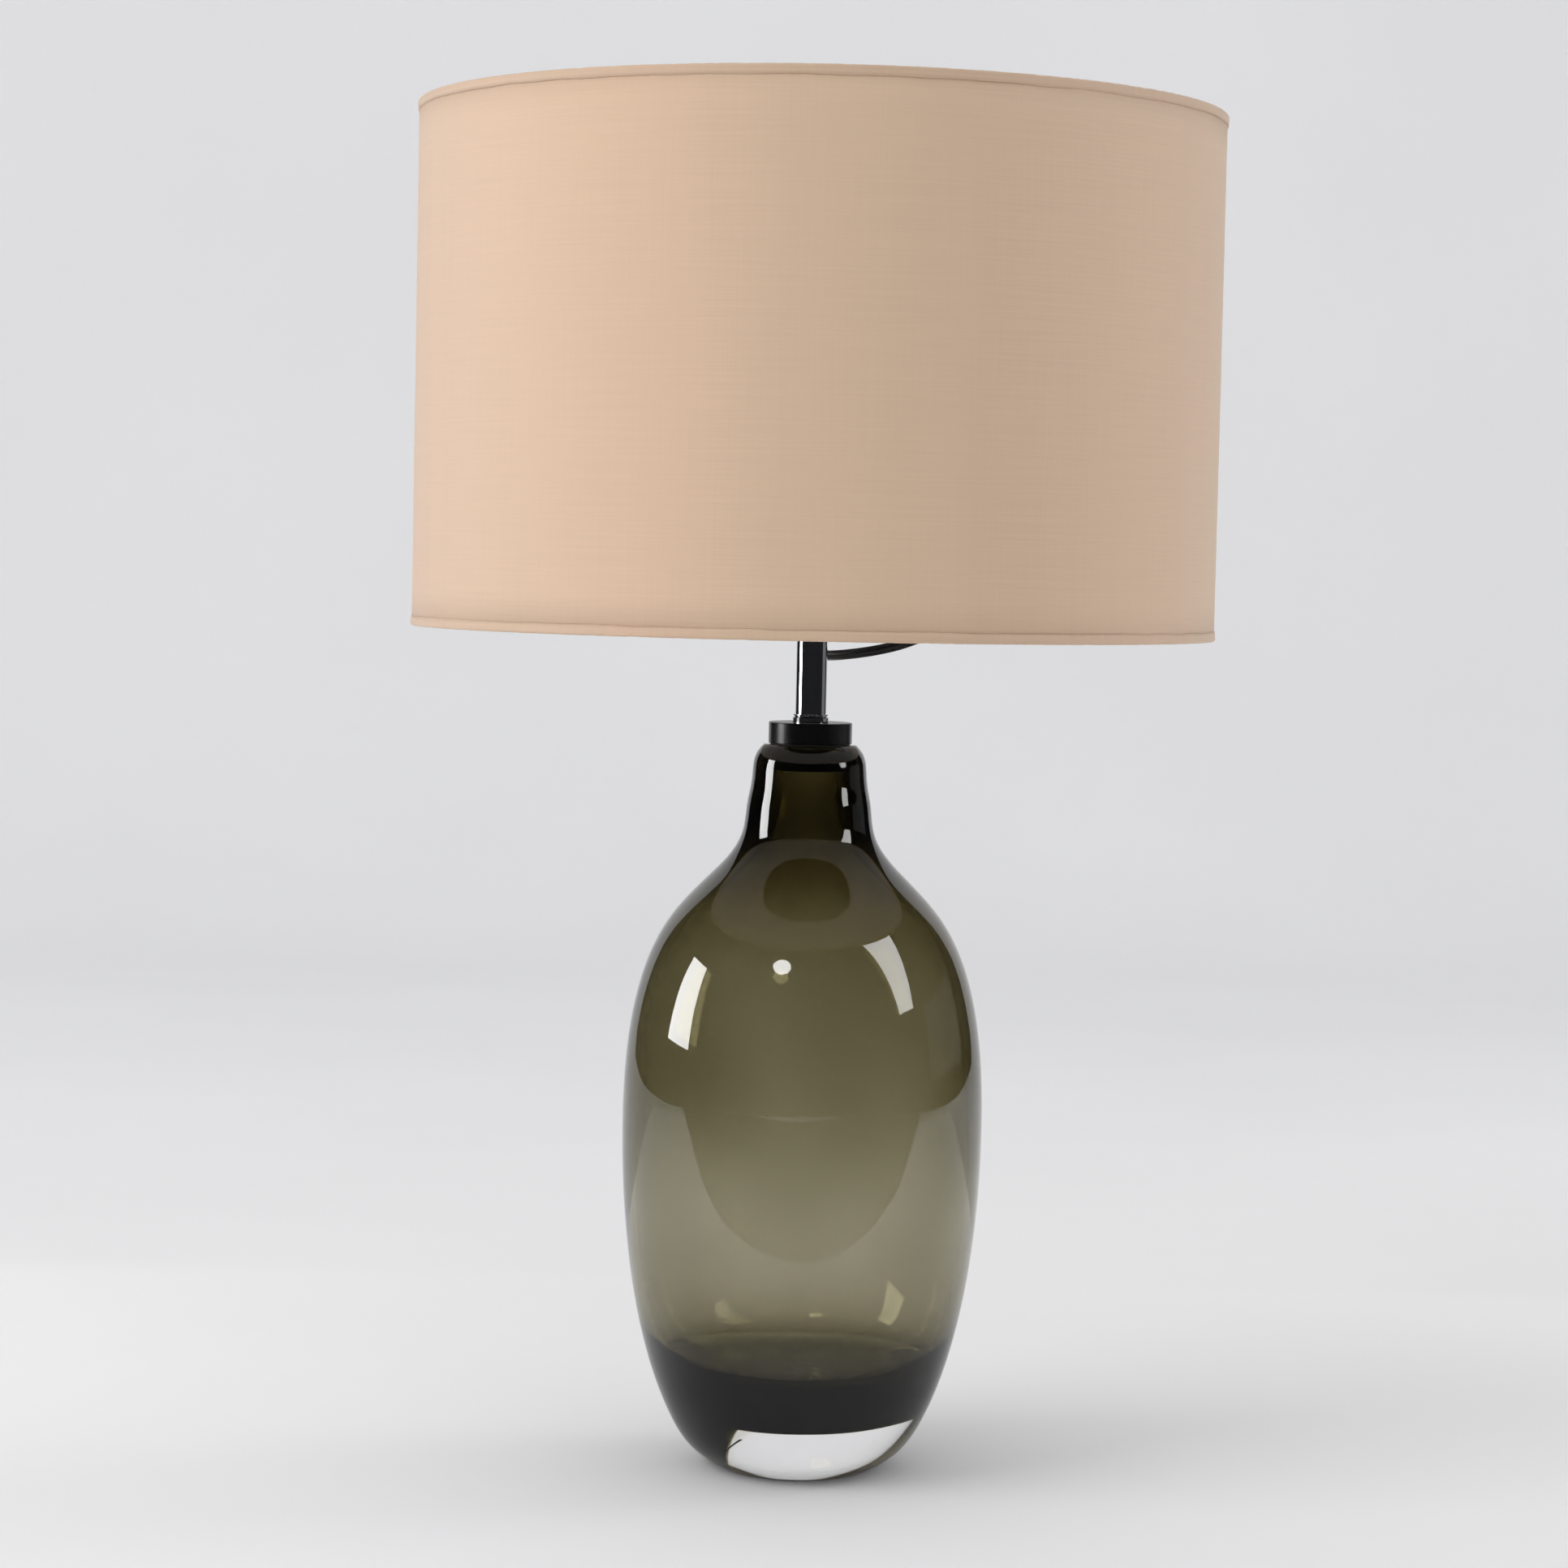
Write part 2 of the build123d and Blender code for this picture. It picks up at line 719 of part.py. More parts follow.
def plug_blades():
    foot = plug_top - plug_relief_length - plug_body[2]
    pair = []
    for side in (-1, 1):
        x = plug_x + side * blade_spacing / 2
        tongue = Pos(x, plug_y, foot - blade[2]) * Box(*blade, align=UP)
        pair.append(chamfer(tongue.faces().sort_by(Axis.Z)[0].edges(), 0.4))
    return Compound(children=pair)


# ---------------------------------------------------------------- the whole lamp
keep("glass_vessel", glass_vessel())
keep("neck_gasket", neck_gasket())
keep("neck_cap", neck_cap())
keep("neck_plug", neck_plug())
keep("clamp_washer", clamp_washer())
keep("clamp_nut", clamp_nut())
keep("lower_nipple", lower_nipple())
keep("stem_ferrule", stem_ferrule())
keep("stem_tube", stem_tube())
keep("outlet_grommet", outlet_grommet())
keep("upper_nipple", upper_nipple())
keep("harp_saddle", harp_saddle())
keep("harp_frame", harp_frame())
keep("harp_stud", harp_stud())
keep("harp_sleeve_left", harp_sleeve(-1))
keep("harp_sleeve_right", harp_sleeve(1))
keep("socket_cap", socket_cap())
keep("socket_shell", socket_shell())
keep("socket_insulator", socket_insulator())
keep("socket_core", socket_core())
keep("socket_screw_shell", socket_screw_shell())
keep("socket_centre_contact", socket_centre_contact())
keep("terminal_screws", terminal_screws())
keep("inner_leads", inner_leads())
keep("switch_shaft", switch_shaft())
keep("switch_knob", switch_knob())
keep("bulb_base", bulb_base())
keep("bulb_contact", bulb_contact())
keep("bulb_globe", bulb_globe())
keep("shade_top_ring", wire_ring(shade_top - ring_inset))
keep("shade_bottom_ring", wire_ring(shade_bottom + ring_inset))
keep("shade_liner", skin(liner_outer, liner_thickness))
keep("shade_fabric", skin(fabric_outer, fabric_thickness))
keep("shade_top_hem", shade_top_hem())
keep("shade_bottom_hem", hem(shade_bottom, 1))
keep("spider_hub", spider_hub())
for place, azimuth in arm_azimuths.items():
    keep("spider_arm_" + place, spider_arm(azimuth))
keep("finial", finial())
keep("power_cord", cord_tube("power_cord", cord_route()))
keep("cord_coil", cord_coil())
keep("cord_tail", cord_tube("cord_tail", tail_route()))
keep("cord_tie", cord_tie())
keep("plug_moulding", plug_moulding())
keep("plug_blades", plug_blades())

for name, shape in NODES.items():
    export_step(shape, "parts/" + name + ".step")
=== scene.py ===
import json
import math

import bpy
import numpy as np
from mathutils import Matrix, Vector
from mathutils import noise as mnoise


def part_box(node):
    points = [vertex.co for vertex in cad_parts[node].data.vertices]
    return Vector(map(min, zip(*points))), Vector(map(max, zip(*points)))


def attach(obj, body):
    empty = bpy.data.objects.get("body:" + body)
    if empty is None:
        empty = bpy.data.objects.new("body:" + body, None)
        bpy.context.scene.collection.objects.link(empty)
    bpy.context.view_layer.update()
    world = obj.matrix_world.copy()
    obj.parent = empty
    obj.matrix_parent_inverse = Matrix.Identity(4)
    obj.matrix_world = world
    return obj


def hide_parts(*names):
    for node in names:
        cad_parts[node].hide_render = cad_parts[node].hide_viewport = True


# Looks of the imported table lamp.  Metres, +Z up, -Y is the front.

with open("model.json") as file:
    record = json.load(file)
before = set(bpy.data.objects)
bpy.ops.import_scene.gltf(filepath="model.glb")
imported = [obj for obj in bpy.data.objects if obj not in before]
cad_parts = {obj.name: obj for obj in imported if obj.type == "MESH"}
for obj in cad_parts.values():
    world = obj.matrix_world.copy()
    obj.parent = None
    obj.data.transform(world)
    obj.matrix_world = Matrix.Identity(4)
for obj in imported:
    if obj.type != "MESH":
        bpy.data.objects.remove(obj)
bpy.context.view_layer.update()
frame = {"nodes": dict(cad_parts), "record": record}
SCENE = bpy.context.scene
MM = 0.001
UP = Vector((0, 0, 1))


# ---------------------------------------------------------------- camera
CAMERA_DISTANCE = 1.9665
CAMERA_HEIGHT = 0.4686
CAMERA_X = -0.0028
CAMERA_LENS = 88.93
PITCH_DOWN = math.radians(3.465)
YAW = math.radians(-0.292)
ROLL = math.radians(1.2)


def make_camera():
    """The viewpoint that was measured: almost level, and rolled by about a degree."""
    data = bpy.data.cameras.new("camera")
    data.lens = CAMERA_LENS
    data.sensor_width = 36.0
    data.clip_start = 0.05
    data.clip_end = 60.0
    camera = bpy.data.objects.new("camera", data)
    SCENE.collection.objects.link(camera)
    ahead = Vector((math.sin(YAW) * math.cos(PITCH_DOWN), math.cos(YAW) * math.cos(PITCH_DOWN),
                    -math.sin(PITCH_DOWN)))
    right = ahead.cross(UP).normalized()
    above = right.cross(ahead)
    right_rolled = math.cos(ROLL) * right + math.sin(ROLL) * above
    above_rolled = math.cos(ROLL) * above - math.sin(ROLL) * right
    turn = Matrix((right_rolled, above_rolled, -ahead)).transposed()
    camera.matrix_world = Matrix.Translation((CAMERA_X, -CAMERA_DISTANCE, CAMERA_HEIGHT)) @ turn.to_4x4()
    SCENE.camera = camera


make_camera()
SCENE.view_settings.view_transform = "Standard"


# ---------------------------------------------------------------- mesh helpers
def add_object(name, data, body=None):
    """Links a new object, riding on a body unless it belongs to the stage."""
    piece = bpy.data.objects.new(name, data)
    SCENE.collection.objects.link(piece)
    if body:
        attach(piece, body)
    return piece


def around_axis(radius, angle, z):
    """A point at one radius and angle round the lamp's axis."""
    return Vector((radius * math.cos(angle), radius * math.sin(angle), z))


def mesh_piece(name, points, faces, body=None, material=None, smooth=True):
    mesh = bpy.data.meshes.new(name)
    mesh.from_pydata([tuple(p) for p in points], [], faces)
    mesh.validate()
    mesh.update()
    if smooth:
        mesh.polygons.foreach_set("use_smooth", [True] * len(mesh.polygons))
    piece = add_object(name, mesh, body)
    if material:
        mesh.materials.append(material)
    return piece


def grid_faces(rows, columns, wrap_columns=True):
    """Quads between neighbouring rows of points; each row holds `columns` points."""
    faces = []
    for i in range(rows - 1):
        a, b = i * columns, (i + 1) * columns
        for j in range(columns if wrap_columns else columns - 1):
            k = (j + 1) % columns
            faces.append((a + j, a + k, b + k, b + j))
    return faces


def smooth_line(points, count):
    """Evenly spaced points on the natural cubic spline through the given ones."""
    p = np.array(points, dtype=float)
    t = np.concatenate([[0], np.cumsum(np.linalg.norm(np.diff(p, axis=0), axis=1))])
    h = np.diff(t)
    n = len(p)
    a = np.zeros((n, n))
    b = np.zeros((n, p.shape[1]))
    a[0, 0] = a[-1, -1] = 1
    for i in range(1, n - 1):
        a[i, i - 1:i + 2] = h[i - 1], 2 * (h[i - 1] + h[i]), h[i]
        b[i] = 6 * ((p[i + 1] - p[i]) / h[i] - (p[i] - p[i - 1]) / h[i - 1])
    m = np.linalg.solve(a, b)
    s = np.linspace(0, t[-1], count)
    i = np.clip(np.searchsorted(t, s, side="right") - 1, 0, n - 2)
    d = (s - t[i])[:, None]
    hi = h[i][:, None]
    slope = (p[i + 1] - p[i]) / hi - hi * (2 * m[i] + m[i + 1]) / 6
    return p[i] + slope * d + m[i] * d ** 2 / 2 + (m[i + 1] - m[i]) * d ** 3 / (6 * hi)


def smoothstep(low, high, x):
    """Eases from 0 to 1 as x goes from low to high."""
    t = min(max((x - low) / (high - low), 0.0), 1.0)
    return t * t * (3 - 2 * t)


# ---------------------------------------------------------------- material helpers
def socket_set(shader, **values):
    """Sets unlinked inputs; an underscore stands for a space in the input's name."""
    for name, value in values.items():
        shader.inputs[name.replace("_", " ")].default_value = value


def new_material(name):
    material = bpy.data.materials.new(name)
    material.use_nodes = True
    nodes = material.node_tree.nodes
    nodes.clear()
    out = nodes.new("ShaderNodeOutputMaterial")
    shader = nodes.new("ShaderNodeBsdfPrincipled")
    material.node_tree.links.new(shader.outputs[0], out.inputs["Surface"])
    return material, material.node_tree, shader


def node(tree, kind, inputs=None, **settings):
    """A shader node; an input is either a socket to link or a value to set."""
    made = tree.nodes.new("ShaderNode" + kind)
    for key, value in settings.items():
        setattr(made, key, value)
    for key, value in (inputs or {}).items():
        slot = made.inputs[key]
        if isinstance(value, bpy.types.NodeSocket):
            tree.links.new(value, slot)
        else:
            slot.default_value = value
    return made


def math_node(tree, operation, a, b=0.0, c=0.0):
    return node(tree, "Math", {0: a, 1: b, 2: c}, operation=operation).outputs[0]


def ramp(tree, factor, stops):
    """A colour ramp through (place, colour) stops."""
    made = node(tree, "ValToRGB", {"Fac": factor})
    elements = made.color_ramp.elements
    while len(elements) < len(stops):
        elements.new(0.5)
    for element, (place, colour) in zip(elements, stops):
        element.position = place
        element.color = (*colour, 1.0)
    return made.outputs["Color"]


def shade_of(colour, factor):
    return tuple(min(1.0, c * factor) for c in colour)


FINE_SHARE = 0.4                 # of the grain that comes from the fine noise
BROAD_CELLS = 12                 # how much larger the broad noise's cells are
NOISE_LOW = 0.3                  # noise rarely leaves this range
NOISE_HIGH = 0.7


def noise_range(tree, noise, low, high):
    """Spreads a noise's usual range over low to high."""
    return node(tree, "MapRange", {"Value": noise, "From Min": NOISE_LOW, "From Max": NOISE_HIGH,
                                   "To Min": low, "To Max": high}).outputs[0]


def surface(name, colour, roughness, metallic=0.0, grain=400.0, vary=0.08, rough_vary=0.08,
            bump=0.00002, stretch=(1, 1, 1), **sockets):
    """A plain surface with fine grain: its tone, roughness and relief all come from noise.
    grain is in cells a metre; vary and rough_vary are how far tone and roughness swing."""
    material, tree, shader = new_material(name)
    place = node(tree, "TexCoord").outputs["Object"]
    scaled = node(tree, "Mapping", {"Vector": place, "Scale": stretch}).outputs[0]
    fine = node(tree, "TexNoise", {"Vector": scaled, "Scale": grain, "Detail": 4.0}).outputs["Fac"]
    broad = node(tree, "TexNoise", {"Vector": place, "Scale": grain / BROAD_CELLS,
                                    "Detail": 3.0}).outputs["Fac"]
    mixed = math_node(tree, "MULTIPLY_ADD", fine, FINE_SHARE,
                      math_node(tree, "MULTIPLY", broad, 1 - FINE_SHARE))
    tone = ramp(tree, mixed, [(NOISE_LOW, shade_of(colour, 1 - vary)),
                              (NOISE_HIGH, shade_of(colour, 1 + vary))])
    tree.links.new(tone, shader.inputs["Base Color"])
    low, high = max(0.02, roughness - rough_vary), min(1.0, roughness + rough_vary)
    tree.links.new(noise_range(tree, mixed, low, high), shader.inputs["Roughness"])
    relief = node(tree, "Bump", {"Height": fine, "Strength": 0.5, "Distance": bump}).outputs[0]
    tree.links.new(relief, shader.inputs["Normal"])
    shader.inputs["Metallic"].default_value = metallic
    socket_set(shader, **sockets)
    return material


# ---------------------------------------------------------------- supply cord
CORD_WIDTH = 5.2 * MM
CORD_THICKNESS = 2.7 * MM
GROOVE_DEPTH = 0.22              # between the two conductors, as a share of the thickness
GROOVE_WIDTH = 0.16              # as a share of the width
UPRIGHT_UNTIL = 55 * MM          # along the cord: its wide side stands upright up to here
TURNED_FROM = 125 * MM           # and lies along Y from here on
COIL_X = 70.0 * MM
COIL_Z = 494.0 * MM
COIL_MIDDLE = 31.0 * MM          # radius half way between the innermost and the outermost turn
COIL_TURNS = 4
COIL_FRONT_Y = 4.5 * MM
COIL_OUTER_TURN = COIL_MIDDLE + (COIL_TURNS - 1) * CORD_WIDTH / 2 + CORD_WIDTH / 2
ENTRY_ANGLE = -40.0              # degrees
LEAVE_ANGLE = 100.0
LAYER_CHANGE = 70.0              # degrees before and after the middle of the step to the rear layer
LEAD_IN = 12.5 * MM
POINTS_PER_TURN = 16

# the route in millimetres: out of the grommet, on to the coil, and from the coil to the plug
CORD_START = [(2.25, 4.24, 415.0), (6.29, 11.83, 415.0)]
CORD_FREE = [(12.6, 18.0, 415.0), (22.2, 21.8, 416.0), (34.0, 22.4, 418.0), (47.0, 20.6, 421.4),
             (60.0, 17.0, 427.2), (73.0, 12.4, 435.6), (84.5, 8.2, 446.2)]
TAIL_FREE = [(54.6, 11.2, 530.4), (46.4, 14.2, 524.0), (42.4, 17.8, 515.0), (41.6, 20.5, 506.0),
             (41.6, 20.5, 499.0)]


def coil_points():
    """Three and a half turns inward in the front layer, a step to the rear one, and nearly four
    turns outward."""
    inward = 360 * (COIL_TURNS - 0.5)
    outward = 360 * (COIL_TURNS - 1) + 360 * 0.5 + (LEAVE_ANGLE - ENTRY_ANGLE)
    step = 360 / POINTS_PER_TURN
    # the spline runs inside its control points, so they lie a little further out than the cord
    flatten = 1 / ((6 + 2 * math.cos(math.radians(step))) / 8)
    inner_turn = COIL_OUTER_TURN - (COIL_TURNS - 1) * CORD_WIDTH
    total = inward + outward
    count = round(total / step)
    points = []
    for k in range(count + 1):
        turned = total * k / count
        if turned < inward:
            radius = COIL_OUTER_TURN - (COIL_OUTER_TURN - inner_turn) * turned / inward
        else:
            radius = inner_turn + (COIL_OUTER_TURN - inner_turn) * (turned - inward) / outward
        y = COIL_FRONT_Y + CORD_WIDTH * smoothstep(inward - LAYER_CHANGE, inward + LAYER_CHANGE, turned)
        a = math.radians(ENTRY_ANGLE + turned)
        radius *= flatten
        points.append(Vector((COIL_X + radius * math.cos(a), y, COIL_Z + radius * math.sin(a))))
    return points


def cord_control_points():
    start = [Vector(p) * MM for p in CORD_START + CORD_FREE]
    coil = coil_points()
    heading = (coil[1] - coil[0]).normalized()
    lead_in = coil[0] - heading * LEAD_IN
    return start + [lead_in] + coil + [Vector(p) * MM for p in TAIL_FREE]


def nurbs_line(points):
    """The points that one smooth spline through the route really follows."""
    curve = bpy.data.curves.new("cord_route", "CURVE")
    curve.dimensions = "3D"
    spline = curve.splines.new("NURBS")
    spline.points.add(len(points) - 1)
    for slot, p in zip(spline.points, points):
        slot.co = (*p, 1.0)
    spline.order_u = 3
    spline.use_endpoint_u = True
    spline.resolution_u = 6
    holder = bpy.data.objects.new("cord_route", curve)
    SCENE.collection.objects.link(holder)
    bpy.context.view_layer.update()
    mesh = bpy.data.meshes.new_from_object(holder.evaluated_get(bpy.context.evaluated_depsgraph_get()))
    line = [v.co.copy() for v in mesh.vertices]
    bpy.data.objects.remove(holder)
    bpy.data.curves.remove(curve)
    bpy.data.meshes.remove(mesh)
    return line


def twin_section(width, thickness, count=20):
    """Outline of two round conductors side by side, with the groove between them."""
    lobe = width / 2 - thickness / 2
    outline = []
    for k in range(count):
        a = 2 * math.pi * k / count
        across = math.cos(a) * width / 2
        half = math.sqrt(max(0.0, (thickness / 2) ** 2 - max(0.0, abs(across) - lobe) ** 2))
        groove = GROOVE_DEPTH * thickness * math.exp(-(across / (GROOVE_WIDTH * width)) ** 2)
        at_edge = abs(math.sin(a)) <= 1e-6
        outline.append((across, 0.0 if at_edge else math.copysign(max(half - groove, 0.0), math.sin(a))))
    return outline


def swept_mesh(name, line, section, width_direction, body, material):
    """Sweeps a section along a line; width_direction gives the section's first axis."""
    points = []
    for i, p in enumerate(line):
        ahead = (line[min(i + 1, len(line) - 1)] - line[max(i - 1, 0)]).normalized()
        wide = width_direction(i)
        wide = (wide - ahead * wide.dot(ahead)).normalized()
        thick = ahead.cross(wide)
        points += [p + wide * u + thick * v for u, v in section]
    columns = len(section)
    faces = grid_faces(len(line), columns)
    faces.append(tuple(reversed(range(columns))))
    faces.append(tuple(len(points) - columns + k for k in range(columns)))
    return mesh_piece(name, points, faces, body, material)


def cord_material():
    return surface("cord_vinyl", (0.012, 0.012, 0.013), 0.32, grain=900, vary=0.25, rough_vary=0.1,
                   bump=0.00003, IOR=1.5)


def make_cord():
    """One flex from the stem's outlet to the plug, its long part wound in a tied coil."""
    line = nurbs_line(cord_control_points())
    steps = [0.0]
    for a, b in zip(line, line[1:]):
        steps.append(steps[-1] + (b - a).length)
    sideways = Vector((0, 1, 0))

    def width_direction(i):
        turn = smoothstep(UPRIGHT_UNTIL, TURNED_FROM, steps[i]) * math.radians(90)
        return UP * math.cos(turn) + sideways * math.sin(turn)

    cord = swept_mesh("supply_cord", line, twin_section(CORD_WIDTH, CORD_THICKNESS), width_direction,
                      "root", cord_material())
    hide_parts("power_cord", "cord_coil", "cord_tail")


make_cord()


# ---------------------------------------------------------------- glass vessel
# all in millimetres; outlines are (radius, height) from the table up
VESSEL_COLUMNS = 192
OUTSIDE_ROWS = 150
CAVITY_ROWS = 120
WALL_ROWS = 80
UNDER_ROWS = 26
MOUTH_RADIUS = 14.0
MOUTH_FOOT = 365                 # above this the cavity is a plain round mouth
RIM_HEIGHT = 370.0
FLOOR_TOP = 60                   # cavity points below this belong to its floor
NECK_FOOT = 315                  # the casing thickens between these heights
NECK_TOP = 345
# a hollow middle, then the ring that the vessel stands on
UNDERSIDE = [(0.3, 1.2), (28.0, 1.2), (31.4, 0.0), (38.8, 0.0)]
OUTSIDE = [(38.8, 0), (54, 10), (66, 28), (81.6, 75), (91.8, 172), (88, 230), (70, 280), (50.6, 302),
           (33.6, 325), (31.4, 340), (29.3, 352), (26.8, 366), (23.6, 369.9)]
CAVITY = [(0, 52), (52, 52.5), (65.5, 56.5), (72.5, 68), (77.5, 86), (81.8, 112), (84.8, 150), (84.6, 180),
          (83, 210), (77.7, 243), (70.2, 264), (57, 284), (35, 304), (18.5, 325), (14, 343), (14, 370)]
OUTSIDE_WOBBLE = 0.12
INSIDE_WOBBLE = 0.5
WOBBLE_CELL = 60                 # height over which the glass's unevenness changes
WOBBLE_TURNS = 1.7               # how fast it changes round the vessel
WOBBLE_FADE = 60                 # height over which the cavity's part of it dies away

BODY_SKIN = 3.0                  # clear casing outside the tint
NECK_SKIN = 4.0                  # added to it up in the neck
CAVITY_SKIN = 0.15               # between the tint and the cavity
TINT_TOP = 368.0
BAG_BOTTOM = 31                  # the tint's underside hangs like a bag in the clear foot
BAG_RISE = 20
BAG_RADIUS = 67
BAG_POWER = 2.4
BAG_TOP = 50.5                   # it stays below the cavity's floor
STREAK_BOTTOM = 1.5              # on the left a streak of tint runs down almost to the table
STREAK_REACH = (20, 34)
STREAK_WIDTH = (29, 17)
EDGE_HIGHEST = 60.0              # where the search for the wall's lower edge starts and ends
EDGE_LOWEST = 1.6
EDGE_STEP = 0.25


def skin_depth(z):
    """Clear casing over the tint: thicker up in the neck."""
    return BODY_SKIN + NECK_SKIN * smoothstep(NECK_FOOT, NECK_TOP, z)


def radius_at(outline, z):
    """Radius of an outline at one height; the outline climbs all the way."""
    return float(np.interp(z, outline[:, 1], outline[:, 0]))


def turned_mesh(name, rings, body, material):
    """A closed surface from rings of points; each ring is a list of one point per column."""
    columns = len(rings[0])
    points = [p for ring in rings for p in ring]
    faces = grid_faces(len(rings), columns)
    for k, ring in ((0, rings[0]), (len(rings) - 1, rings[-1])):
        middle = sum((Vector(p) for p in ring), Vector()) / columns
        points.append(middle)
        centre = len(points) - 1
        for j in range(columns):
            a, b = k * columns + j, k * columns + (j + 1) % columns
            faces.append((b, centre, a) if k else (a, centre, b))
    return mesh_piece(name, points, faces, body, material)


def hand_blown(angle, z, size, seed):
    """A slow unevenness of the glass."""
    return size * mnoise.noise(Vector((WOBBLE_TURNS * math.cos(angle) + seed, WOBBLE_TURNS * math.sin(angle),
                                       z / WOBBLE_CELL)))


def column_angle(j):
    return 2 * math.pi * j / VESSEL_COLUMNS


def ring_at(r, z, wobble=0.0, seed=0.0):
    """One ring of the vessel's surface, in metres."""
    ring = []
    for j in range(VESSEL_COLUMNS):
        a = column_angle(j)
        uneven = hand_blown(a, z, wobble, seed) if wobble else 0.0
        ring.append(around_axis(max(r + uneven, 0.02), a, z) * MM)
    return ring


def cavity_wobble(z):
    """Unevenness of the cavity's wall, dying away towards the mouth."""
    return INSIDE_WOBBLE * min(1.0, (MOUTH_FOOT - z) / WOBBLE_FADE) if z < MOUTH_FOOT else 0.0


def clear_glass():
    """Clear glass with a faint ripple and a few smears."""
    material, tree, shader = new_material("clear_glass")
    place = node(tree, "TexCoord").outputs["Object"]
    cloud = node(tree, "TexNoise", {"Vector": place, "Scale": 14.0, "Detail": 2.0}).outputs["Fac"]
    relief = node(tree, "Bump", {"Height": cloud, "Strength": 0.25, "Distance": 0.0012}).outputs[0]
    tree.links.new(relief, shader.inputs["Normal"])
    smear = node(tree, "TexNoise", {"Vector": place, "Scale": 60.0, "Detail": 4.0}).outputs["Fac"]
    rough = node(tree, "MapRange", {"Value": smear, "From Min": 0.55, "From Max": 0.8,
                                    "To Min": 0.0, "To Max": 0.02}).outputs[0]
    tree.links.new(rough, shader.inputs["Roughness"])
    socket_set(shader, Base_Color=(1, 1, 1, 1), Transmission_Weight=1.0, IOR=1.5)
    return material


def smoke_glass():
    """Tint only: it absorbs, and doesn't bend light again inside the clear casing."""
    material, tree, shader = new_material("smoke_tint")
    socket_set(shader, Base_Color=(1, 1, 1, 1), Roughness=0.0, Transmission_Weight=1.0, IOR=1.0)
    absorb = node(tree, "VolumeAbsorption")
    absorb.inputs["Color"].default_value = (0.32, 0.27, 0.01, 1)
    absorb.inputs["Density"].default_value = 285.0
    out = next(n for n in tree.nodes if n.type == "OUTPUT_MATERIAL")
    tree.links.new(absorb.outputs[0], out.inputs["Volume"])
    return material


def underside(x, y):
    """Height of the tint's bag-shaped underside over a point of the foot."""
    bag = BAG_BOTTOM + BAG_RISE * (math.hypot(x, y) / BAG_RADIUS) ** BAG_POWER
    streak = smoothstep(*STREAK_REACH, -x) * smoothstep(*STREAK_WIDTH, abs(y)) if x < 0 else 0.0
    return bag - (bag - STREAK_BOTTOM) * streak


def make_casing(outside, cavity):
    """The whole vessel in clear glass: underside, outside, rim and cavity."""
    rings = [ring_at(r, z) for r, z in UNDERSIDE]
    rings += [ring_at(r, z, OUTSIDE_WOBBLE, seed=3.0) for r, z in outside[1:-1]]
    rings += [ring_at(outside[-1][0], RIM_HEIGHT), ring_at(MOUTH_RADIUS, RIM_HEIGHT)]
    rings += [ring_at(r, z, cavity_wobble(z), seed=9.0) for r, z in cavity[::-1][1:-1]]
    casing = turned_mesh("glass_casing", rings, "root", clear_glass())
    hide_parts("glass_vessel")


def wall_edge(climbing, cos_a, sin_a):
    """Height at which the tint's wall meets its underside, in one column."""
    edge = EDGE_HIGHEST
    while edge > EDGE_LOWEST:
        r = radius_at(climbing, edge) - skin_depth(edge)
        if edge <= underside(r * cos_a, r * sin_a):
            break
        edge -= EDGE_STEP
    return edge


def make_tint(outside, cavity):
    """The smoke layer inside the casing: wall, bag-shaped underside, mouth and cavity side."""
    climbing = outside[np.argsort(outside[:, 1])]
    wall = [[None] * VESSEL_COLUMNS for _ in range(WALL_ROWS)]
    under = [[None] * VESSEL_COLUMNS for _ in range(UNDER_ROWS)]
    for j in range(VESSEL_COLUMNS):
        a = column_angle(j)
        cos_a, sin_a = math.cos(a), math.sin(a)
        edge = wall_edge(climbing, cos_a, sin_a)
        for i in range(WALL_ROWS):
            z = TINT_TOP + (edge - TINT_TOP) * (i / (WALL_ROWS - 1))
            r = radius_at(climbing, z) - skin_depth(z) + hand_blown(a, z, INSIDE_WOBBLE, 5.0)
            wall[i][j] = around_axis(r, a, z) * MM
        r_edge = radius_at(climbing, edge) - skin_depth(edge)
        for i in range(UNDER_ROWS):
            r = r_edge * (1 - (i + 1) / (UNDER_ROWS + 0.3))
            under[i][j] = around_axis(r, a, min(underside(r * cos_a, r * sin_a), BAG_TOP)) * MM
    mouth = [ring_at(MOUTH_RADIUS + CAVITY_SKIN, TINT_TOP)]
    inner = [ring_at(r + CAVITY_SKIN, z - (CAVITY_SKIN if z < FLOOR_TOP else 0), cavity_wobble(z), seed=9.0)
             for r, z in cavity[::-1] if z < TINT_TOP - 1]
    tint = turned_mesh("glass_tint", under[::-1] + wall[::-1] + mouth + inner, "root", smoke_glass())


def make_vessel():
    """Clear casing and smoke tint, both from the same two outlines."""
    outside = smooth_line(OUTSIDE, OUTSIDE_ROWS)
    cavity = smooth_line(CAVITY, CAVITY_ROWS)
    cavity[:, 0] = np.maximum(cavity[:, 0], 0)
    make_casing(outside, cavity)
    make_tint(outside, cavity)


make_vessel()


# ---------------------------------------------------------------- shade
shade_low, shade_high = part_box("shade_fabric")
CLOTH_RADIUS = shade_high.x
CLOTH_THICKNESS = 0.5 * MM
CLOTH_COLUMNS = 512
CLOTH_ROWS = 14
CLOTH_COLOUR = (0.70, 0.506, 0.354)
CLOTH_SETBACK = 0.15 * MM        # from the CAD solid's face to the cloth's middle level
CLOTH_HOLLOW = 0.18 * MM
LAP = 12 * MM                    # the sheet's ends overlap by this much at the back
LAP_LIFT = 0.55                  # rise of the end on top, as a share of the thickness

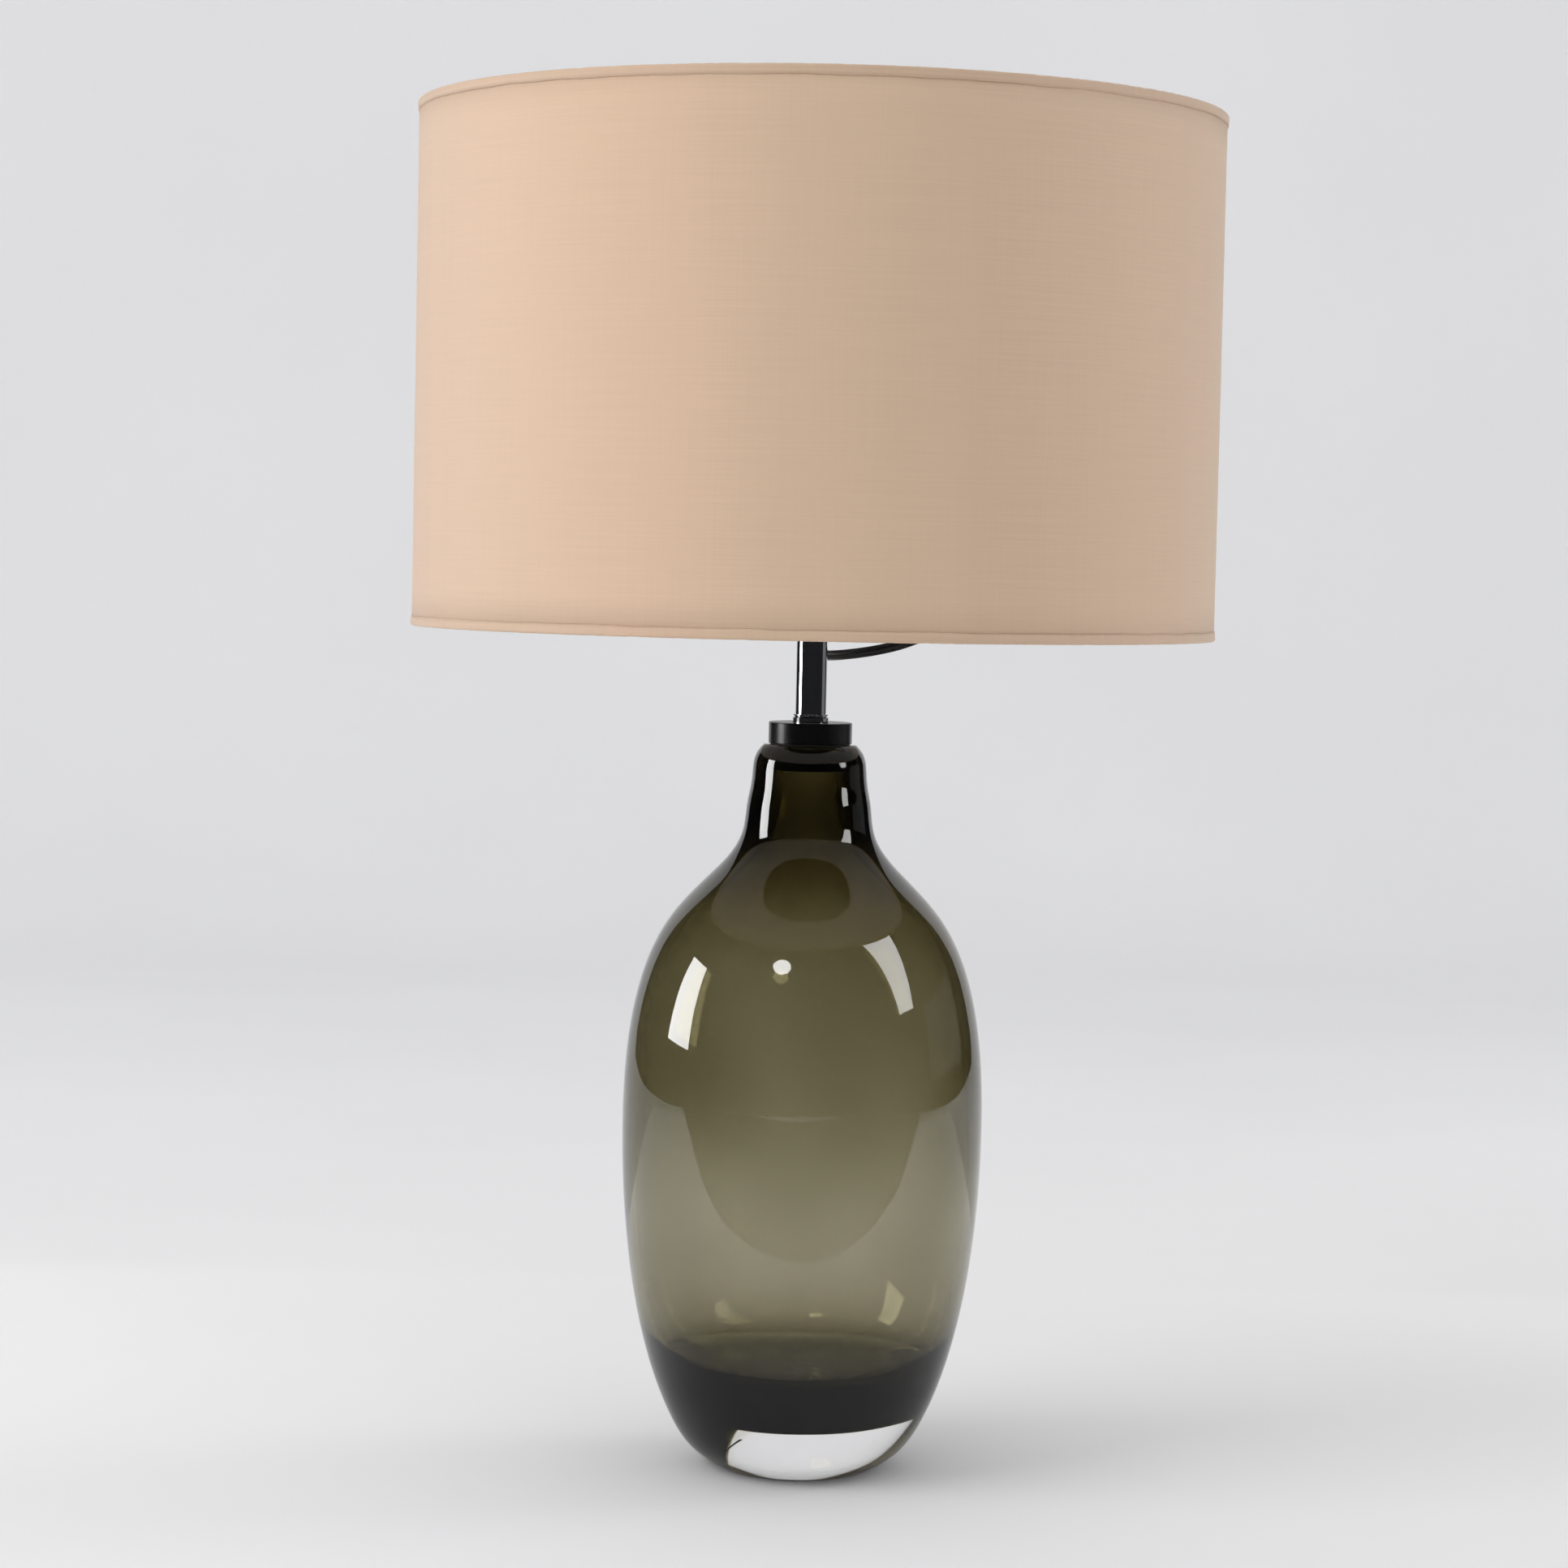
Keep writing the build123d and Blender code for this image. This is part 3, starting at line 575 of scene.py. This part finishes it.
HEM_COLOUR = (0.645, 0.464, 0.326)
HEM_COLUMNS = 768
HEM_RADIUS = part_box("shade_top_hem")[1].x
HEM_STRIP = 5 * MM               # how far the strip reaches down the outside
HEM_INNER = 197.3 * MM           # radius of its inner side
HEM_DEPTH = 4.4 * MM             # how far it reaches down the inside
HEM_BEND = 1.2 * MM
HEM_THICKNESS = 0.42 * MM
# slow and quick unevenness of the hem's face, its free edge and its rim
HEM_PUCKER = (0.10 * MM, 0.16 * MM)
HEM_FRAY = (0.5 * MM, 0.25 * MM)
HEM_WAVE = (0.2 * MM, 0.22 * MM)

# noise cells a metre, round the drum and up it
WEFT_CELLS = (14.0, 900.0)
WARP_CELLS = (700.0, 12.0)
BAND_CELLS = (9.0, 0.8)
WEAVE_PITCH = 0.45 * MM
WEAVE_RELIEF = 0.35              # height of the weave against that of the uneven threads
WEFT_SHARE = 0.7                 # of the threads' tone, the rest is warp
THREAD_CONTRAST = 0.03


def cylinder_coordinates(tree):
    """Arc length round the lamp's axis and height, as two sockets in metres."""
    place = node(tree, "TexCoord").outputs["Object"]
    parts = node(tree, "SeparateXYZ", {"Vector": place})
    back = math_node(tree, "MULTIPLY", parts.outputs["Y"], -1.0)
    angle = math_node(tree, "ARCTAN2", parts.outputs["X"], back)
    return math_node(tree, "MULTIPLY", angle, CLOTH_RADIUS), parts.outputs["Z"], place


def drum_noise(tree, around, height, cells, **inputs):
    """Noise on the unrolled cloth, with its own count of cells each way."""
    place = node(tree, "CombineXYZ", {0: math_node(tree, "MULTIPLY", around, cells[0]),
                                      1: math_node(tree, "MULTIPLY", height, cells[1])}).outputs[0]
    return node(tree, "TexNoise", {"Vector": place, "Scale": 1.0, **inputs}).outputs["Fac"]


def cloth(name, colour, slub=1.0, fray=0.0):
    """Plain-woven cloth with a silky face: fine threads both ways, slubs along the weft and
    slow tonal bands along the warp."""
    material, tree, shader = new_material(name)
    around, height, place = cylinder_coordinates(tree)
    weft = drum_noise(tree, around, height, WEFT_CELLS, Detail=2.0)
    warp = drum_noise(tree, around, height, WARP_CELLS, Detail=2.0)
    bands = drum_noise(tree, around, height, BAND_CELLS, Detail=3.0, Roughness=0.55)
    threads = math_node(tree, "MULTIPLY_ADD", weft, WEFT_SHARE,
                        math_node(tree, "MULTIPLY", warp, 1 - WEFT_SHARE))
    palest = (colour[0] * 1.03, colour[1] * 1.005, colour[2] * 1.02)
    pale = ramp(tree, bands, [(NOISE_LOW, shade_of(colour, 0.965)), (0.5, colour), (NOISE_HIGH, palest)])
    factor = noise_range(tree, threads, 1 - THREAD_CONTRAST * slub, 1 + THREAD_CONTRAST * slub)
    toned = node(tree, "VectorMath", {0: pale, "Scale": factor}, operation="SCALE").outputs[0]
    tree.links.new(toned, shader.inputs["Base Color"])
    pitch = 2 * math.pi / WEAVE_PITCH
    over = math_node(tree, "SINE", math_node(tree, "MULTIPLY", around, pitch))
    down = math_node(tree, "SINE", math_node(tree, "MULTIPLY", height, pitch))
    weave = math_node(tree, "MULTIPLY", over, down)
    relief = math_node(tree, "MULTIPLY_ADD", weave, WEAVE_RELIEF, threads)
    if fray:
        crumple = node(tree, "TexNoise", {"Vector": place, "Scale": 130.0, "Detail": 4.0}).outputs["Fac"]
        relief = math_node(tree, "MULTIPLY_ADD", crumple, fray, relief)
    bumped = node(tree, "Bump", {"Height": relief, "Strength": 0.3, "Distance": 0.00012}).outputs[0]
    tree.links.new(bumped, shader.inputs["Normal"])
    rough = node(tree, "MapRange", {"Value": threads, "To Min": 0.62, "To Max": 0.8}).outputs[0]
    tree.links.new(rough, shader.inputs["Roughness"])
    socket_set(shader, Sheen_Weight=0.35, Sheen_Roughness=0.45, IOR=1.4, Sheen_Tint=(1.0, 0.93, 0.9, 1.0))
    return material


def cloth_radius(angle, z):
    """The cloth lies on its liner with hardly any give: a few slow hollows."""
    hollow = mnoise.noise(around_axis(3.0, angle, z * 5.0))
    return CLOTH_RADIUS - CLOTH_SETBACK + CLOTH_HOLLOW * hollow


def make_cloth():
    """One sheet rolled round the liner, its ends lapped at the back."""
    low, high = shade_low.z + 0.1 * MM, shade_high.z - 0.1 * MM
    lap = LAP / CLOTH_RADIUS
    turn = 2 * math.pi + lap
    rows = CLOTH_ROWS
    outer, inner = [], []
    for i in range(rows + 1):
        z = low + (high - low) * i / rows
        for j in range(CLOTH_COLUMNS + 1):
            travelled = turn * j / CLOTH_COLUMNS
            a = math.radians(90) - lap / 2 + travelled
            # the last end climbs just before it comes to lie over the first one
            lift = CLOTH_THICKNESS * LAP_LIFT * smoothstep(turn - 2.2 * lap, turn - 1.1 * lap, travelled)
            r = cloth_radius(a, z) + lift
            outer.append(around_axis(r, a, z))
            r -= CLOTH_THICKNESS * (0.5 if lift else 1.0)
            inner.append(around_axis(r, a, z))
    columns = CLOTH_COLUMNS + 1
    count = len(outer)
    faces = grid_faces(rows + 1, columns, wrap_columns=False)
    faces += [tuple(count + k for k in reversed(f)) for f in faces]
    for j in range(CLOTH_COLUMNS):
        top = rows * columns + j
        faces.append((j + 1, j, count + j, count + j + 1))
        faces.append((top, top + 1, count + top + 1, count + top))
    for i in range(rows):
        a, b = i * columns, (i + 1) * columns
        faces.append((a, b, count + b, count + a))
        a, b = a + CLOTH_COLUMNS, b + CLOTH_COLUMNS
        faces.append((b, a, count + a, count + b))
    piece = mesh_piece("shade_cloth", outer + inner, faces, "shade", cloth("shade_cloth", CLOTH_COLOUR))
    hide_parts("shade_fabric")
    return piece


def hem_section(inward, edge):
    """Outline of a turned-over strip as (radius, height), from the outside's free edge over the rim
    to the inside. inward is +1 where the strip runs upward from the rim, -1 where it runs down."""
    out = HEM_RADIUS - 0.05 * MM
    # the free edge stands just proud of the cloth, and the strip swells a little towards the rim
    outline = [(CLOTH_RADIUS + 0.12 * MM, edge + inward * HEM_STRIP),
               (out - 0.15 * MM, edge + inward * 3.2 * MM),
               (out, edge + inward * 1.6 * MM)]
    for k in range(7):
        a = math.radians(15 * k)
        outline.append((out - HEM_BEND * (1 - math.cos(a)), edge + inward * HEM_BEND * (1 - math.sin(a))))
    for k in range(1, 7):
        a = math.radians(15 * k)
        outline.append((HEM_INNER + HEM_BEND * (1 - math.sin(a)),
                        edge + inward * HEM_BEND * (1 - math.cos(a))))
    outline.append((HEM_INNER, edge + inward * HEM_DEPTH))
    return outline


def uneven(sizes, slow, quick):
    return sizes[0] * slow + sizes[1] * quick


def hem_surface(outline, inward, seed):
    """The strip's outer face: rows of puckered points, with an uneven free edge."""
    points = []
    for k, (r, z) in enumerate(outline):
        for j in range(HEM_COLUMNS):
            a = 2 * math.pi * j / HEM_COLUMNS
            slow = mnoise.noise(around_axis(9, a, seed))
            quick = mnoise.noise(around_axis(60, a, seed + k * 0.15))
            pucker = abs(uneven(HEM_PUCKER, slow, quick))
            # puckers sink in from the outside and, on the inner side, from the inside
            sunk = r - pucker if r > HEM_INNER + 1 * MM else r + pucker
            height = z
            if k == 0:
                height += inward * uneven(HEM_FRAY, slow, quick)
            elif 2 <= k <= len(outline) - 3:
                height += inward * abs(uneven(HEM_WAVE, slow, quick))
            points.append(around_axis(sunk, a, height))
    return points


def hem_underside(outline, inward, surface_points):
    """The strip's glued face, one thickness under the outer one."""
    points = []
    n = len(outline)
    for k in range(n):
        r0, z0 = outline[max(k - 1, 0)]
        r1, z1 = outline[min(k + 1, n - 1)]
        long = math.hypot(r1 - r0, z1 - z0)
        normal_r = inward * (z0 - z1) / long
        normal_z = inward * (r1 - r0) / long
        for j in range(HEM_COLUMNS):
            outward = around_axis(normal_r, 2 * math.pi * j / HEM_COLUMNS, normal_z)
            points.append(surface_points[k * HEM_COLUMNS + j] - outward * HEM_THICKNESS)
    return points


def make_hem(name, node_name, edge, inward, seed):
    """A narrow strip of the same cloth, glued over the rim, with small puckers and an uneven edge."""
    outline = hem_section(inward, edge)
    surface_points = hem_surface(outline, inward, seed)
    under_points = hem_underside(outline, inward, surface_points)
    count = len(surface_points)
    last_row = count - HEM_COLUMNS
    faces = [tuple(reversed(f)) for f in grid_faces(len(outline), HEM_COLUMNS)]
    faces += [tuple(count + k for k in reversed(f)) for f in faces]
    for j in range(HEM_COLUMNS):
        k = (j + 1) % HEM_COLUMNS
        faces.append((j, k, count + k, count + j))
        faces.append((last_row + k, last_row + j, count + last_row + j, count + last_row + k))
    if inward < 0:
        faces = [tuple(reversed(f)) for f in faces]
    piece = mesh_piece(name, surface_points + under_points, faces, "shade",
                       cloth("hem_cloth_" + name, HEM_COLOUR, slub=1.6, fray=1.5))
    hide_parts(node_name)
    return piece


def make_shade():
    """The stretched cloth with a hem strip over each rim."""
    sheet = make_cloth()
    top = make_hem("top_hem_strip", "shade_top_hem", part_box("shade_top_hem")[1].z, -1, 2.0)
    bottom = make_hem("bottom_hem_strip", "shade_bottom_hem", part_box("shade_bottom_hem")[0].z, 1, 7.0)


make_shade()


# ---------------------------------------------------------------- finishes of the CAD nodes
def brushed(name, colour, roughness, **more):
    """Bare or plated metal with a fine satin grain."""
    return surface(name, colour, roughness, metallic=1.0, grain=500, vary=0.06, rough_vary=0.06,
                   bump=0.00001, **more)


FINISHES = {
    "black_gloss": lambda: surface("cap_gloss", (0.004, 0.004, 0.004), 0.24, grain=260, vary=0.3,
                                   rough_vary=0.05, bump=0.000004, IOR=1.45),
    "black_rubber": lambda: surface("rubber", (0.018, 0.018, 0.018), 0.7, grain=900, vary=0.2),
    "chrome": lambda: surface("chrome_plate", (0.63, 0.64, 0.66), 0.045, metallic=1.0, grain=300,
                              vary=0.03, rough_vary=0.025, bump=0.000003),
    "zinc_steel": lambda: brushed("zinc_plate", (0.6, 0.6, 0.57), 0.35),
    "black_plastic": lambda: surface("bush_plastic", (0.012, 0.012, 0.012), 0.4, grain=700, vary=0.2),
    "nickel_wire": lambda: brushed("nickel_plate", (0.62, 0.6, 0.55), 0.24, stretch=(1, 1, 0.1)),
    "socket_nickel": lambda: brushed("socket_plate", (0.66, 0.64, 0.6), 0.3),
    "fibre_sleeve": lambda: surface("vulcan_fibre", (0.16, 0.09, 0.045), 0.75, grain=300, vary=0.2),
    "black_moulding": lambda: surface("phenolic", (0.012, 0.011, 0.011), 0.3, grain=600, vary=0.25),
    "aluminium_shell": lambda: brushed("drawn_aluminium", (0.78, 0.78, 0.78), 0.33),
    "contact_brass": lambda: brushed("satin_brass", (0.75, 0.55, 0.2), 0.3),
    "cord_black": lambda: surface("plug_vinyl", (0.012, 0.012, 0.013), 0.36, grain=900, vary=0.25),
    "tie_strap": lambda: surface("tie_weave", (0.02, 0.02, 0.02), 0.85, grain=1600, vary=0.5,
                                 bump=0.0002, Sheen_Weight=0.3),
    "bulb_opal": lambda: surface("opal_glass", (0.86, 0.85, 0.81), 0.18, grain=80, vary=0.02,
                                 rough_vary=0.05, Coat_Weight=0.5),
    "white_wire": lambda: surface("white_enamel", (0.75, 0.74, 0.7), 0.35, grain=500, vary=0.05),
    "liner_white": lambda: surface("styrene_liner", (0.78, 0.74, 0.68), 0.6, grain=250, vary=0.03,
                                   bump=0.00003),
}


def finish_nodes():
    """Gives every CAD node that is seen the finish of its material slot."""
    slots = {part["node"]: part["material_slot"] for part in frame["record"]["subparts"]}
    made = {}
    for name, cad in frame["nodes"].items():
        kind = slots[name]
        if kind not in FINISHES or cad.hide_render:
            continue
        if kind not in made:
            made[kind] = FINISHES[kind]()
        cad.data.materials.clear()
        cad.data.materials.append(made[kind])


finish_nodes()


# ---------------------------------------------------------------- stage and light
FLOOR_RADIUS = 2.4
COVE = 0.8
COVE_STEP = 9                    # degrees
WALL_TOP = 2.8
SWEEP_COLUMNS = 96
SWEEP_WHITE = (0.895, 0.895, 0.9)
TABLE_FRONT = -0.37              # Y of the white table's edges, as mirrors see them
TABLE_BACK = 0.5
SIDE_FLAG = 1.75                 # where the white sweep ends to the sides, as mirrors see it
BACKDROP_NEAR = 2.2              # Y where the dark sides give way to the backdrop
ROOM_RADIUS = 2.1
ROOM_FOOT = 0.03
ROOM_TOP = 2.6
ROOM_COLUMNS = 48
ROOM_DARK = (0.02, 0.02, 0.022)
DARK_FLOOR_Z = 0.002             # both lie just over the sweep's floor
SHEEN_Z = 0.003
SHEEN_START = 0.12               # distance to the side of the lamp where the sheen sets in
SHEEN_FULL = 0.5
SHEEN_STRENGTH = 0.6
VESSEL_MIDDLE = Vector((0, 0, 0.22))


def stage_material(name, colour):
    """Matt paint, very slightly clouded."""
    material, tree, shader = new_material(name)
    place = node(tree, "TexCoord").outputs["Object"]
    cloud = node(tree, "TexNoise", {"Vector": place, "Scale": 2.0, "Detail": 3.0}).outputs["Fac"]
    tone = ramp(tree, cloud, [(NOISE_LOW, shade_of(colour, 0.985)), (NOISE_HIGH, shade_of(colour, 1.015))])
    tree.links.new(tone, shader.inputs["Base Color"])
    socket_set(shader, Roughness=0.9, Specular_IOR_Level=0.1)
    return material


def make_backdrop():
    """A round white sweep: floor, cove and wall."""
    rows = [(FLOOR_RADIUS * k / 6, 0.0) for k in range(1, 7)]
    for k in range(1, 11):
        a = math.radians(COVE_STEP * k)
        rows.append((FLOOR_RADIUS + COVE * math.sin(a), COVE * (1 - math.cos(a))))
    rows.append((FLOOR_RADIUS + COVE, WALL_TOP))
    points = [around_axis(r, 2 * math.pi * j / SWEEP_COLUMNS, z)
              for r, z in rows for j in range(SWEEP_COLUMNS)]
    faces = grid_faces(len(rows), SWEEP_COLUMNS)
    points.append(Vector((0, 0, 0)))
    faces += [(len(points) - 1, (j + 1) % SWEEP_COLUMNS, j) for j in range(SWEEP_COLUMNS)]
    mesh_piece("sweep", points, faces, material=stage_material("sweep_white", SWEEP_WHITE))


def only_mirrored(piece, through_glass=False):
    """Shows a stage piece in reflections, and through glass only where asked."""
    piece.visible_camera = False
    piece.visible_transmission = through_glass
    piece.visible_diffuse = False
    piece.visible_shadow = False


def mirrored_quad(name, corners, material):
    only_mirrored(mesh_piece(name, corners, [(0, 1, 2, 3)], material=material, smooth=False))


def make_dark_room():
    """The unlit room in front of the table and beside the backdrop, seen only as a reflection."""
    material = stage_material("room_dark", ROOM_DARK)
    near = -ROOM_RADIUS
    mirrored_quad("dark_floor", [(near, TABLE_FRONT, DARK_FLOOR_Z), (ROOM_RADIUS, TABLE_FRONT, DARK_FLOOR_Z),
                                 (ROOM_RADIUS, near, DARK_FLOOR_Z), (near, near, DARK_FLOOR_Z)], material)
    for side, name in ((-1, "dark_side_left"), (1, "dark_side_right")):
        x = side * SIDE_FLAG
        mirrored_quad(name, [(x, near, ROOM_FOOT), (x, BACKDROP_NEAR, ROOM_FOOT),
                             (x, BACKDROP_NEAR, ROOM_TOP), (x, near, ROOM_TOP)], material)
    points = []
    for z in (ROOM_FOOT, ROOM_TOP):
        for j in range(ROOM_COLUMNS + 1):
            points.append(around_axis(ROOM_RADIUS, math.radians(-180 + 180 * j / ROOM_COLUMNS), z))
    faces = grid_faces(2, ROOM_COLUMNS + 1, wrap_columns=False)
    only_mirrored(mesh_piece("dark_wall", points, faces, material=material))


def glow(name, strength):
    """Plain white light of one strength."""
    material = bpy.data.materials.new(name)
    material.use_nodes = True
    nodes = material.node_tree.nodes
    nodes.clear()
    out = nodes.new("ShaderNodeOutputMaterial")
    light = nodes.new("ShaderNodeEmission")
    light.inputs["Color"].default_value = (1.0, 1.0, 1.0, 1.0)
    light.inputs["Strength"].default_value = strength
    material.node_tree.links.new(light.outputs[0], out.inputs["Surface"])
    return material


def make_sail(name, azimuth, low, high, distance, half_low, half_high, strength, steps=24, oval=False):
    """A bright band that curves round the vessel's middle, seen only mirrored or through glass: at
    one azimuth (degrees from -Y towards +X) it climbs from one elevation to another, and its half
    width changes on the way."""
    a = math.radians(azimuth)
    out = Vector((math.sin(a), -math.cos(a), 0))
    across = Vector((math.cos(a), math.sin(a), 0))
    points = []
    for k in range(steps + 1):
        t = k / steps
        e = math.radians(low + (high - low) * t)
        half = half_low + (half_high - half_low) * t
        if oval:
            half = half_low * math.sqrt(max(1 - (2 * t - 1) ** 2, 0.04))
        middle = VESSEL_MIDDLE + distance * (out * math.cos(e) + UP * math.sin(e))
        points += [middle - across * half, middle + across * half]
    band = mesh_piece(name, points, grid_faces(steps + 1, 2, wrap_columns=False),
                      material=glow(name + "_glow", strength))
    only_mirrored(band, through_glass=True)


def make_table_sheen():
    """The lit table either side of the lamp, brighter in reflections than it looks straight on."""
    material, tree, shader = new_material("table_sheen")
    place = node(tree, "TexCoord").outputs["Object"]
    across = math_node(tree, "ABSOLUTE", node(tree, "SeparateXYZ", {"Vector": place}).outputs["X"])
    rise = node(tree, "MapRange", {"Value": across, "From Min": SHEEN_START, "From Max": SHEEN_FULL,
                                   "To Min": 0.0, "To Max": SHEEN_STRENGTH}).outputs[0]
    tree.links.new(rise, shader.inputs["Emission Strength"])
    socket_set(shader, Base_Color=(0.7, 0.7, 0.7, 1), Roughness=0.9, Emission_Color=(1.0, 0.98, 0.95, 1))
    corners = [(-SIDE_FLAG, TABLE_FRONT, SHEEN_Z), (SIDE_FLAG, TABLE_FRONT, SHEEN_Z),
               (SIDE_FLAG, TABLE_BACK, SHEEN_Z), (-SIDE_FLAG, TABLE_BACK, SHEEN_Z)]
    mirrored_quad("table_sheen", corners, material)


def add_light(name, place, target, size, power, colour):
    """A soft rectangle of light that neither shows in mirrors nor through glass."""
    data = bpy.data.lights.new(name, "AREA")
    data.shape = "RECTANGLE"
    data.size, data.size_y = size
    data.energy = power
    data.color = colour
    lamp = bpy.data.objects.new(name, data)
    SCENE.collection.objects.link(lamp)
    lamp.location = place
    lamp.rotation_euler = (Vector(target) - Vector(place)).to_track_quat("-Z", "Y").to_euler()
    lamp.visible_camera = False
    lamp.visible_glossy = False
    lamp.visible_transmission = False


# name, place, target, size, watts, colour
LIGHTS = [
    ("key_left", (-2.0, -1.0, 1.6), (0, 0, 0.5), (1.8, 1.8), 27, (1.0, 0.99, 1.0)),
    ("rim_right", (2.0, 0.6, 1.0), (0, 0, 0.5), (0.8, 1.6), 8, (1.0, 0.99, 0.98)),
    ("backdrop_left", (-0.7, 0.9, 2.5), (-0.7, 2.9, 0.6), (1.4, 0.6), 2.2, (0.99, 1.0, 1.0)),
    ("backdrop_right", (0.7, 0.9, 2.5), (0.7, 2.9, 0.6), (1.4, 0.6), 1.2, (0.99, 1.0, 1.0)),
]
WORLD_COLOUR = (0.985, 0.99, 1.0, 1)
WORLD_STRENGTH = 0.68


def make_lights():
    """A pale sky for the room and four soft lights."""
    world = bpy.data.worlds.new("studio")
    world.use_nodes = True
    socket_set(world.node_tree.nodes["Background"], Color=WORLD_COLOUR, Strength=WORLD_STRENGTH)
    SCENE.world = world
    world.cycles_visibility.glossy = False
    for light in LIGHTS:
        add_light(*light)


def make_sails():
    """The two windows, the lamp and the pale wall that the glass and the chrome mirror."""
    make_sail("window_left", azimuth=-88, low=4, high=27, distance=1.5, half_low=0.26, half_high=0.2,
              strength=14)
    make_sail("lamp_front", azimuth=-19, low=35, high=43, distance=1.6, half_low=0.16, half_high=0.16,
              strength=16, steps=8, oval=True)
    make_sail("window_right", azimuth=73, low=15, high=52, distance=1.6, half_low=0.16, half_high=0.34,
              strength=8)
    make_sail("wall_right", azimuth=105, low=-2, high=14, distance=1.65, half_low=0.5, half_high=0.5,
              strength=0.2, steps=2)


make_backdrop()
make_dark_room()
make_table_sheen()
make_lights()
make_sails()
SCENE.cycles.max_bounces = 24
SCENE.cycles.transmission_bounces = 20
SCENE.cycles.glossy_bounces = 8
